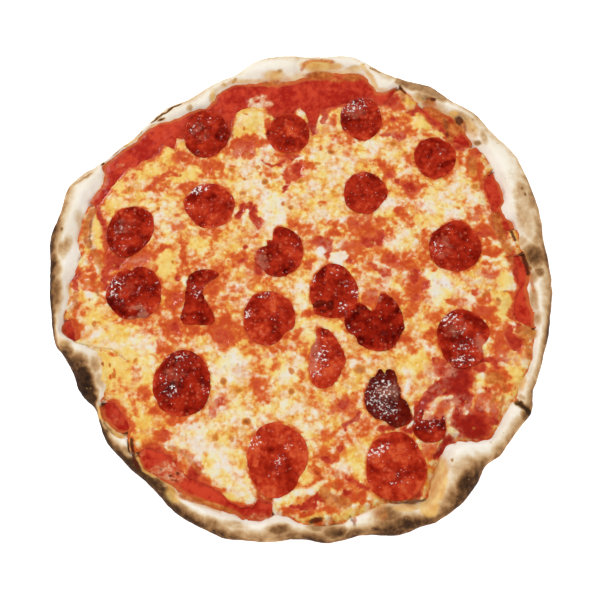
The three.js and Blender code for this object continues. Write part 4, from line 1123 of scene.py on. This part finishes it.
        (37, 40, 4, 3.4, 0.8), (53, 30, 4, 7, 0.9), (7, 12, 2.4, 2.6, 0.75), (75, 3, 4, 6, 0.95),
        (81, -4, 4, 5, 0.8, -30), (76, -12, 4, 4, 0.85), (60, 14, 5, 5, 0.8), (57, 4, 3, 4, 0.7),
        (117, 46, 3, 3, 0.5), (122, 34, 5, 2.6, 0.9), (134, -36, 3, 5, 0.95, -10),
        (138.5, -44.5, 4.6, 4.6, 1), (114, -9, 3, 3, 0.75), (-79, 1, 1.8, 2.8, 0.95),
        (-50, -82, 3.6, 4.6, 0.7), (-54, -89, 3, 4, 0.6), (28, -84, 4, 4, 0.9), (12, -103, 4, 2.6, 0.5),
        (18, -119, 6, 2, 0.95, -10), (26, -112, 2.4, 2, 0.8), (32, -131, 3.6, 2.8, 0.7, -20),
        (29, -140.5, 3, 2.8, 1), (101, -68, 9, 12, 1.3, -20), (111, -56, 9, 3, 1.2, 10),
        (108.5, -97, 11.5, 9.5, 1.3), (126, -59, 2, 3.5, 1), (113, -87, 3.5, 4, 1), (121.5, -94, 4, 3, 1),
        (123, -88, 3, 4, 0.8), (104, -80, 5, 9, 1.2), (-84, -103, 3.4, 3, 0.75), (98, -93, 5, 10, 1.2, 10),
        (92, -105, 6, 3, 1.2, -20), (79, -94, 10, 6, 1.1), (90, -95, 5, 7, 0.7), (109, 99, 4, 5, 0.9),
        (119.5, -74, 1.5, 3, 0.95), (116, -78.5, 3, 2.4, 0.75), (98, 117, 2.5, 5, 0.9, 10),
        (-116, -90, 4.4, 9.5, 1, 32), (-65, -127, 5, 7.5, 1, 10), (83, -14, 4, 4, 0.45),
        (19, 18, 3, 3, 0.8), (-31, -38, 4, 4, 0.6), (95, -77, 5, 4, 1.2), (14, -143, 5, 2.5, 0.8, -20),
        (28, -144, 4, 2, 0.7), (7, -148, 4, 2, 0.9, 10), (-8, 75, 3, 7, 0.8), (128, -54, 7, 2.5, 0.7),
        (-21, -149, 3.4, 3.5, 0.95), (20, -89, 2.4, 3, 0.5), (-27, -71, 3, 4, 0.65, 30),
        (127, 4, 4, 2, 0.6), (-90, -116, 8, 6, 0.95), (-8, 84, 8, 3.5, 0.55, -30), (-2, 76, 5, 5, 0.8),
        (18, 26, 3.4, 5.5, 0.95, -20), (34, 22, 6, 6, 0.55), (45, -13, 4, 4, 0.65), (118, -20, 6, 4, 0.7),
        (127, -43, 3, 9, 0.6), (141, -32, 3, 5, 0.8), (138, -42, 6, 7, 1), (115, -60, 6, 4, 0.9),
        (90, -60, 5, 8, 0.9), (96, -80, 6, 5, 1.2), (55, -99, 6, 2.5, 0.9), (68, -99, 5, 2.5, 1),
        (72, -140, 3, 4, 0.8), (-104, 14, 8, 4, 0.7, 30), (131, 34, 4, 7, 0.6),
    ],
    "redLines": [
        ([(-41, 43.5), (-39.3, 49), (-37.5, 54)], 1.9, 1),
        ([(-38, 53.5), (-35.5, 51.8), (-33, 54)], 1.5, 1),
        ([(-32.5, 54.5), (-30, 47), (-26.3, 38.5)], 2.5, 1),
        ([(-24, 86), (-19, 82), (-12, 83), (-9, 88)], 1.3, 0.9),
        ([(-136.5, 57), (-134, 50), (-132, 44), (-129, 37)], 2.5, 1),
        ([(8, 122), (8, 113), (10, 108)], 2.6, 1), ([(38, -90), (28, -98)], 1.7, 0.95),
        ([(30, -129), (42, -138)], 1.5, 0.9), ([(-4, -149), (4, -146.8), (11.5, -141)], 2, 1),
        ([(118, 91), (121, 94)], 1.6, 0.8), ([(129, 74), (131, 68), (134, 62)], 3.4, 1),
        ([(131, 46), (136, 38), (134, 30)], 2.6, 1), ([(-60, -124), (-70, -114), (-78, -111)], 2, 0.55),
        ([(-22, -140), (-24, -147)], 3, 0.5), ([(140, 20), (143, 12), (145.5, 4)], 2.8, 0.95),
        ([(-124, 18), (-125, 8), (-127, 0), (-126.5, -5)], 2.4, 0.9),
        ([(-144.5, 5), (-147.5, 0), (-145.5, -6)], 2.6, 0.85),
        ([(72, -92), (75, -86), (80, -81), (88, -73), (95, -67)], 3.8, 1.15),
        ([(94, -105), (88, -111), (84, -117)], 2.2, 1.2), ([(114, -56), (121, -54.5), (126, -57)], 2, 0.9),
        ([(77, 124), (83, 126.5), (88, 126)], 2.6, 0.95), ([(49, 11), (53, 6), (56, 3)], 2.2, 0.85),
        ([(17, 125), (17, 116)], 2.4, 0.85), ([(-130, 40), (-128, 30), (-127, 22)], 2.2, 0.8),
        ([(-124, 2), (-114, -3)], 3, 0.95), ([(131, 41), (133, 33), (135, 27)], 3, 1),
    ],
    # never red
    "clear": [
        (90, -86, 5, 4, 1), (-116, -62, 11, 15, 0.9, 25), (-34, -142, 9, 4, 0.9, -12),
        (-50, -132, 6, 4, 0.9, -30), (-32, 126, 9, 4, 1),
    ],
    # cheese and sauce stirred together
    "pink": [
        (118, 0, 9, 6, 0.8), (104, -13, 5, 6, 0.8), (30, -90, 12, 8, 0.3), (-50, -84, 7, 8, 0.8),
        (22, 25, 12, 5, 0.6, 10), (17, 112, 7, 7, 0.7), (-28, 38, 10, 4, 0.6, 20), (-36, 93, 10, 4, 0.6),
        (136, -53, 9, 5, 0.9), (100, -84, 9, 6, 0.8), (48, -6, 6, 7, 0.7), (-28, 22, 5, 4, 0.6),
        (62, 4, 9, 5, 0.5), (116, 46, 5, 5, 0.6), (-81, 40, 6, 7, 0.5), (-66, -112, 6, 4, 0.3),
        (-36, -62, 6, 4, 0.6), (88, -64, 6, 5, 0.7), (66, 105, 7, 5, 0.5), (43, 45, 8, 5, 0.5),
        (90, -82, 8, 4, 0.7), (93, -95, 4, 9, 0.9), (80, -92, 7, 5, 0.9), (98, -102, 4, 4, 0.8),
        (104, -86, 6, 5, 0.6), (83, -69, 10, 10, 0.6), (95, -62, 6, 5, 0.9), (115, -82, 5, 5, 0.8),
        (122, -84, 6, 8, 0.5), (80, -110, 8, 4, 0.6), (-104, 12, 6, 3, 0.7), (-33, 3, 4, 4, 0.5),
        (14, 46, 6, 6, 0.3),
    ],
    "brown": [
        (-100, 83, 1.1, 1.1, 0.8), (-91, 83.5, 1, 1, 0.8), (-80, 75, 1.3, 1.3, 0.9),
        (-88, 69, 1.5, 1.5, 0.6), (-37, 121, 2.6, 0.7, 0.9, -35), (-38, 110, 1, 1.5, 0.8),
        (-46, 79.5, 2.4, 1.8, 0.7), (-28, 81, 2.2, 1.8, 0.7), (-23, 70.5, 2.2, 2.2, 0.9),
        (-37, 72.5, 1.5, 1.3, 0.6), (21.5, 93, 2.2, 2, 1), (1, 71, 2.4, 2, 0.8), (12, 84, 2.6, 1.4, 0.7),
        (-38, 62, 2.6, 1.8, 0.8), (23, 63, 2, 1.6, 0.6), (64, 99, 2.2, 2, 0.8), (72, 92, 1.4, 1.4, 0.8),
        (77, 88, 1.6, 1.8, 0.7), (118, 67, 2.4, 2.4, 0.8), (-94, 50.5, 1.4, 1.4, 0.9),
        (-6, 51.5, 1.6, 1.8, 0.9), (-11, 54, 1.3, 2, 0.8), (-19, 48, 1.8, 1.3, 0.35),
        (-136, -14, 1.2, 1.2, 0.7), (-48, -69, 2, 2.8, 0.85, 20), (-38, -75, 2.8, 1.5, 0.8, 15),
        (-5, -75.5, 2, 2.6, 0.9), (-5, -62, 1.7, 2.6, 0.8, 20), (-33, -95, 2.8, 2.3, 1, 10),
        (-42, -106, 1.7, 2.4, 0.7), (-52, -105, 2.2, 3, 0.7, -20), (-4, -92, 1.4, 1.6, 0.6),
        (38.5, -61, 3.8, 3.4, 0.85), (106, 51, 1.5, 1.2, 0.7), (-83, 12, 1.1, 1.6, 0.7),
        (-104, -55, 1.4, 2.4, 0.7, -20), (10, 63, 1.4, 1.4, 0.5), (-78, 60, 1.2, 1.2, 0.6),
        (81, 7, 1.4, 1.8, 0.8), (117, 78, 2.6, 4, 0.6), (14, 53, 1.6, 1.6, 0.6), (-63, 74, 1.4, 1.4, 0.6),
        (-114, 65, 1.6, 2.4, 0.8), (12, 117, 0.8, 1.6, 0.4), (-9, -44, 1.6, 1.6, 0.5),
        (-132, -30, 1.6, 2, 0.7), (-96, 28, 1.4, 1.4, 0.5), (27, 107, 1.6, 2, 0.7), (44, 94, 1.4, 1.2, 0.5),
        (-17, 76, 1.6, 1.6, 0.7), (71, 60, 1.6, 1.4, 0.5), (-125, -57.5, 1, 1.8, 1.1, 20),
        (-120.5, -58.5, 0.8, 1.8, 0.8), (-117.5, -65, 1.6, 2.2, 0.8), (-123.5, -70, 1.4, 1.8, 0.4),
        (-117, -71.5, 1.4, 3.4, 0.4), (-109, -55.5, 1.5, 1.5, 0.5), (-112, -66, 1.5, 4, 0.35, 15),
    ],
}


def cheeseRadius(angle):
    form = cheeseForm
    tongue = form["tongueClimb"] * swell(angle, form["tongueAt"], form["tongueSpread"])
    return np.minimum(cheeseEdge(angle), floorRadius(angle) + form["climb"] + tongue)


def makeCheese(material):
    form, stain = cheeseForm, cheeseStain
    share, angle, faces, edge = discGrid(form["cells"])
    reach = cheeseRadius(angle) + unevenness(onCircle(130, angle), form["ragged"], 71)
    reach = np.minimum(reach, crestRadius(angle))
    distance = form["middle"] * share + (reach - form["middle"]) * share ** 4
    inside = reach - distance
    points = onCircle(distance, angle)
    x, y = points[:, 0], points[:, 1]

    farX, farY = strayed(x, y, 1.8, 1.5, 81)
    nearX, nearY = strayed(x, y, 0.8, 0.6, 83)
    strands = lineField(nearX, nearY, stain["paleLines"])
    pale = np.maximum(spotField(farX, farY, stain["pale"]), strands)
    gold = markField(nearX, nearY, stain, "gold")
    oil = markField(farX, farY, stain, "oil")
    clear = spotField(nearX, nearY, stain["clear"])
    red = markField(farX, farY, stain, "red") * (1 - 0.85 * np.clip(strands, 0, 1)) * (1 - 0.9 * clear)
    pink = spotField(farX, farY, stain["pink"])
    brown = spotField(*strayed(x, y, 0.3, 0.5, 91), stain["brown"], 0.7)

    # level above the cheese's underside
    level = form["edgeDepth"] + (form["depth"] - form["edgeDepth"]) * smooth(inside / form["edgeSlope"])
    for domeX, domeY, radius, high in form["domes"]:
        away = np.clip(np.hypot(x - domeX, y - domeY) / radius, 0, 1)
        level = level + high * (1 - away ** 2) ** 2
    uneven = unevenness(points, form["relief"], 95)
    level = level + (uneven * (1 - 0.6 * gold) + 0.3 * pale) * smooth(inside / 5)
    level = level - 0.8 * np.clip(red, 0, 1) * smooth(inside / 4)
    under, halo = np.zeros_like(x), np.zeros_like(x)
    covered, coverLine = form["halfCovered"]
    for number, (sliceX, sliceY, *rest) in enumerate(sliceForm["slices"], 1):
        direction = np.degrees(np.arctan2(y - sliceY, x - sliceX))
        away = np.hypot(x - sliceX, y - sliceY) / sliceRadius(number, direction)
        bare = smooth((coverLine - y) / 3) if number == covered else 1
        under = np.maximum(under, bare * smooth((1 - away) / 0.05))
        halo = np.maximum(halo, smooth((1.14 - away) / 0.12))
    bed = form["depth"] + form["sliceEdge"] - form["sliceBed"] * under
    level = np.minimum(level, np.where(under > 0, bed, np.inf))
    level = np.maximum(level, form["leastDepth"])
    film = (form["sunk"] + form["film"]) * smooth((1 - share) / 0.035) - form["sunk"]
    level = np.maximum(level, wallLevel(distance, angle) - form["bottom"] + film)

    # fields for the finish
    mottle = unevenness(points, form["mottle"], 105)
    tone = form["tone"] + mottle * (1 - 0.6 * gold) - 0.36 * pale - 0.12 * uneven
    tone = tone + (form["goldTone"] - tone) * gold
    shown = sauceShown(angle)
    creep = form["tintWidth"] * (1 + 0.7 * lumps(points, 11, 115))
    oily = np.maximum(oil, halo * (0.45 + 0.5 * lumps(points, 24, 113)))
    crept = (0.8 - 0.6 * clear) * shown * smooth((2 * creep - inside) / (1.5 * form["tintWidth"]))
    oily = np.maximum(oily, crept)
    oily = np.maximum(oily, 0.5 * (1 - shown) * smooth(1 - inside / 6) * (1 - gold))
    crept = shown * smooth((creep - inside) / form["tintWidth"]) * (1 - 0.8 * gold) * (1 - 0.9 * clear)
    red = np.maximum(red, crept)
    soaked = form["soaked"] + 0.08 * lumps(points, 21, 117) - 0.22 * pale
    soaked = soaked + 0.5 * oily + 0.2 * red - 0.35 * gold * (1 - oil)
    busy = 1 - 0.75 * gold - 0.35 * np.clip(pale, 0, 1)
    points[:, 2] = form["bottom"] + level
    values = {"tone": tone, "soaked": soaked, "red": red, "busy": busy, "brown": brown, "pink": pink,
              "gold": gold, "wet": np.maximum(oil, red), **bakedOnAndShadeFields(points)}
    points, faces, fields = closeBelow(points, faces, edge, form["bottom"], values)
    return makePiece("pizzaCheese", points, faces, fields, material, "mozzarella")


def cheeseMaterial():
    material, tree, shader = newMaterial("meltedMozzarella")
    wide = ripple(tree, 6, 2, 0.5, 0.6)
    fine = ripple(tree, 2.1, 2, 0.5, 0.3)
    busy = field(tree, "busy")
    between = calc(tree, "SUBTRACT", placeGroup(tree, curds, "Edge", Scale=230, Warp=0.005), 0.4)
    uneven = plus(tree, plus(tree, calc(tree, "MULTIPLY", wide, 0.6), fine, 0.6), between, 0.5)
    tone = plus(tree, field(tree, "tone"), uneven, busy)
    milky = colourRamp(tree, tone, [(0, "#ebe2da"), (0.2, "#eedecb"), (0.4, "#eed1ac"), (0.55, "#e9bd85"),
                                    (0.75, "#de9e5e"), (1, "#ce8246")])
    golden = colourRamp(tree, tone, [(0, "#ebe2c2"), (0.2, "#efdea2"), (0.4, "#f1d078"), (0.55, "#ecbb54"),
                                     (0.75, "#e29c40"), (1, "#d28034")])
    share = calc(tree, "ADD", stretch(tree, noise(tree, 10, 3, 0.6), 0.38, 0.62), field(tree, "gold"))
    colour = blendColour(tree, share, milky, golden)
    colour = cover(tree, colour, dots(tree, 400, 0.13, 0.36), 0.5, tint("#fdf4dc"))  # glints
    oil = plus(tree, field(tree, "soaked"), ripple(tree, 5.5, 2, 0.5, 0.6), 0.95)
    oil = plus(tree, oil, fine, 0.45)
    oil = plus(tree, oil, calc(tree, "MULTIPLY", between, 0.5), busy)
    shades = [(0.3, "#ecaf58"), (0.5, "#e68b39"), (0.72, "#da6728"), (1, "#c6481d")]
    colour = blendColour(tree, stretch(tree, oil, 0.22, 0.8), colour, colourRamp(tree, oil, shades))
    red = field(tree, "red")
    splash = plus(tree, red, calc(tree, "ADD", fine, wide), 0.5)
    depth = calc(tree, "MULTIPLY", calc(tree, "ADD", red, ripple(tree, 3.5, 2, 0.5)), 0.7)
    shades = [(0.35, "#d66034"), (0.6, "#bf3c20"), (0.85, "#a01e0f"), (1, "#8f160a")]
    colour = blendColour(tree, stretch(tree, splash, 0.25, 0.75), colour, colourRamp(tree, depth, shades))
    stirred = stretch(tree, noise(tree, 4, 4, 0.65, 0.6), 0.4, 0.62)
    stirred = calc(tree, "MULTIPLY", field(tree, "pink"), stirred)
    colour = cover(tree, colour, stirred, 0.7, tint("#d99878"))
    toast = calc(tree, "MULTIPLY", dots(tree, 230, 0.2, 0.34), 0.45)
    colour = cover(tree, colour, toast, busy, tint("#cf8136"))
    spot = plus(tree, field(tree, "brown"), fine, 0.4)
    shades = [(0.2, "#ecb258"), (0.5, "#da8a32"), (0.8, "#bd651f"), (1, "#964616")]
    spotColour = colourRamp(tree, spot, shades)
    colour = blendColour(tree, stretch(tree, spot, 0.15, 0.5, 0, 0.9), colour, spotColour)
    height = plus(tree, placeGroup(tree, grain, "Height", Scale=380, Fine=0.5), between, -0.8)
    feed(tree, shader, {
        "Base Color": addBakedOnAndShade(tree, colour), "Roughness": stretch(tree, oil, 0.4, 0.9, 0.46, 0.36),
        "Specular IOR Level": 0.06, "Coat Weight": stretch(tree, field(tree, "wet"), 0, 1, 0.04, 0.14),
        "Coat Roughness": 0.12, "Subsurface Weight": 0.12, "Subsurface Radius": (1, 0.6, 0.3),
        "Subsurface Scale": 1.5 * mm, "Normal": bumpNormal(tree, height, 0.6, 0.9),
    })
    return material


crust = makeCrust(crustMaterial())
print("crust shaped:", len(crust.data.polygons), "faces")
sauce = makeSauce(sauceMaterial())
print("sauce spread:", len(sauce.data.polygons), "faces")
cheese = makeCheese(cheeseMaterial())
print("cheese melted:", len(cheese.data.polygons), "faces")
sliceFinish = salamiMaterial()
for number in range(1, len(sliceForm["slices"]) + 1):
    makeSlice(number, sliceFinish)
print("salami laid:", len(sliceForm["slices"]), "slices")


# Floor, light and picture
studio = {
    "floorHalf": 1.6, "floorColour": (0.96, 0.96, 0.96, 1), "floorGlow": 0.5, "floorDrop": 0.0002,
    "skyLevel": 1.3, "zenithLevel": 0.15, "skyFade": (0.66, 0.9),
    "keyPlace": (-1.4, 1.82, 2.64), "keySize": 0.6, "keyPower": 50,
    "fillPlace": (0.5, -2.2, 2.4), "fillSize": 2, "fillPower": 32,
}


def makeStudio():
    half = studio["floorHalf"]
    mesh = bpy.data.meshes.new("paleFloor")
    corners = [(-half, -half, 0), (half, -half, 0), (half, half, 0), (-half, half, 0)]
    mesh.from_pydata(corners, [], [(0, 1, 2, 3)])
    floor = bpy.data.objects.new("paleFloor", mesh)
    floor.location.z = -studio["floorDrop"]
    bpy.context.scene.collection.objects.link(floor)
    material, tree, shader = newMaterial("paleFloor")
    feed(tree, shader, {
        "Base Color": studio["floorColour"], "Roughness": 0.9, "Specular IOR Level": 0,
        "Emission Color": (1, 1, 1, 1), "Emission Strength": studio["floorGlow"],
    })
    mesh.materials.append(material)

    # the sky is brightest low down and dim overhead, so that flat wet parts keep their colour
    world = bpy.data.worlds.new("softStudio")
    world.use_nodes = True
    tree = world.node_tree
    direction = addNode(tree, "ShaderNodeTexCoord").outputs["Generated"]
    height = addNode(tree, "ShaderNodeSeparateXYZ", {"Vector": direction}).outputs["Z"]
    strength = stretch(tree, height, *studio["skyFade"], studio["skyLevel"], studio["zenithLevel"])
    feed(tree, tree.nodes["Background"].inputs, {"Color": (1, 1, 1, 1), "Strength": strength})
    bpy.context.scene.world = world

    for name in ("key", "fill"):
        lamp = bpy.data.lights.new(name + "Lamp", "AREA")
        lamp.size = studio[name + "Size"]
        lamp.energy = studio[name + "Power"]
        light = bpy.data.objects.new(name + "Lamp", lamp)
        light.location = studio[name + "Place"]
        light.rotation_euler = (-light.location).to_track_quat("-Z", "Y").to_euler()
        light.visible_glossy = name == "key"
        bpy.context.scene.collection.objects.link(light)


makeStudio()
bpy.context.scene.view_settings.view_transform = "Standard"
print("studio lit")
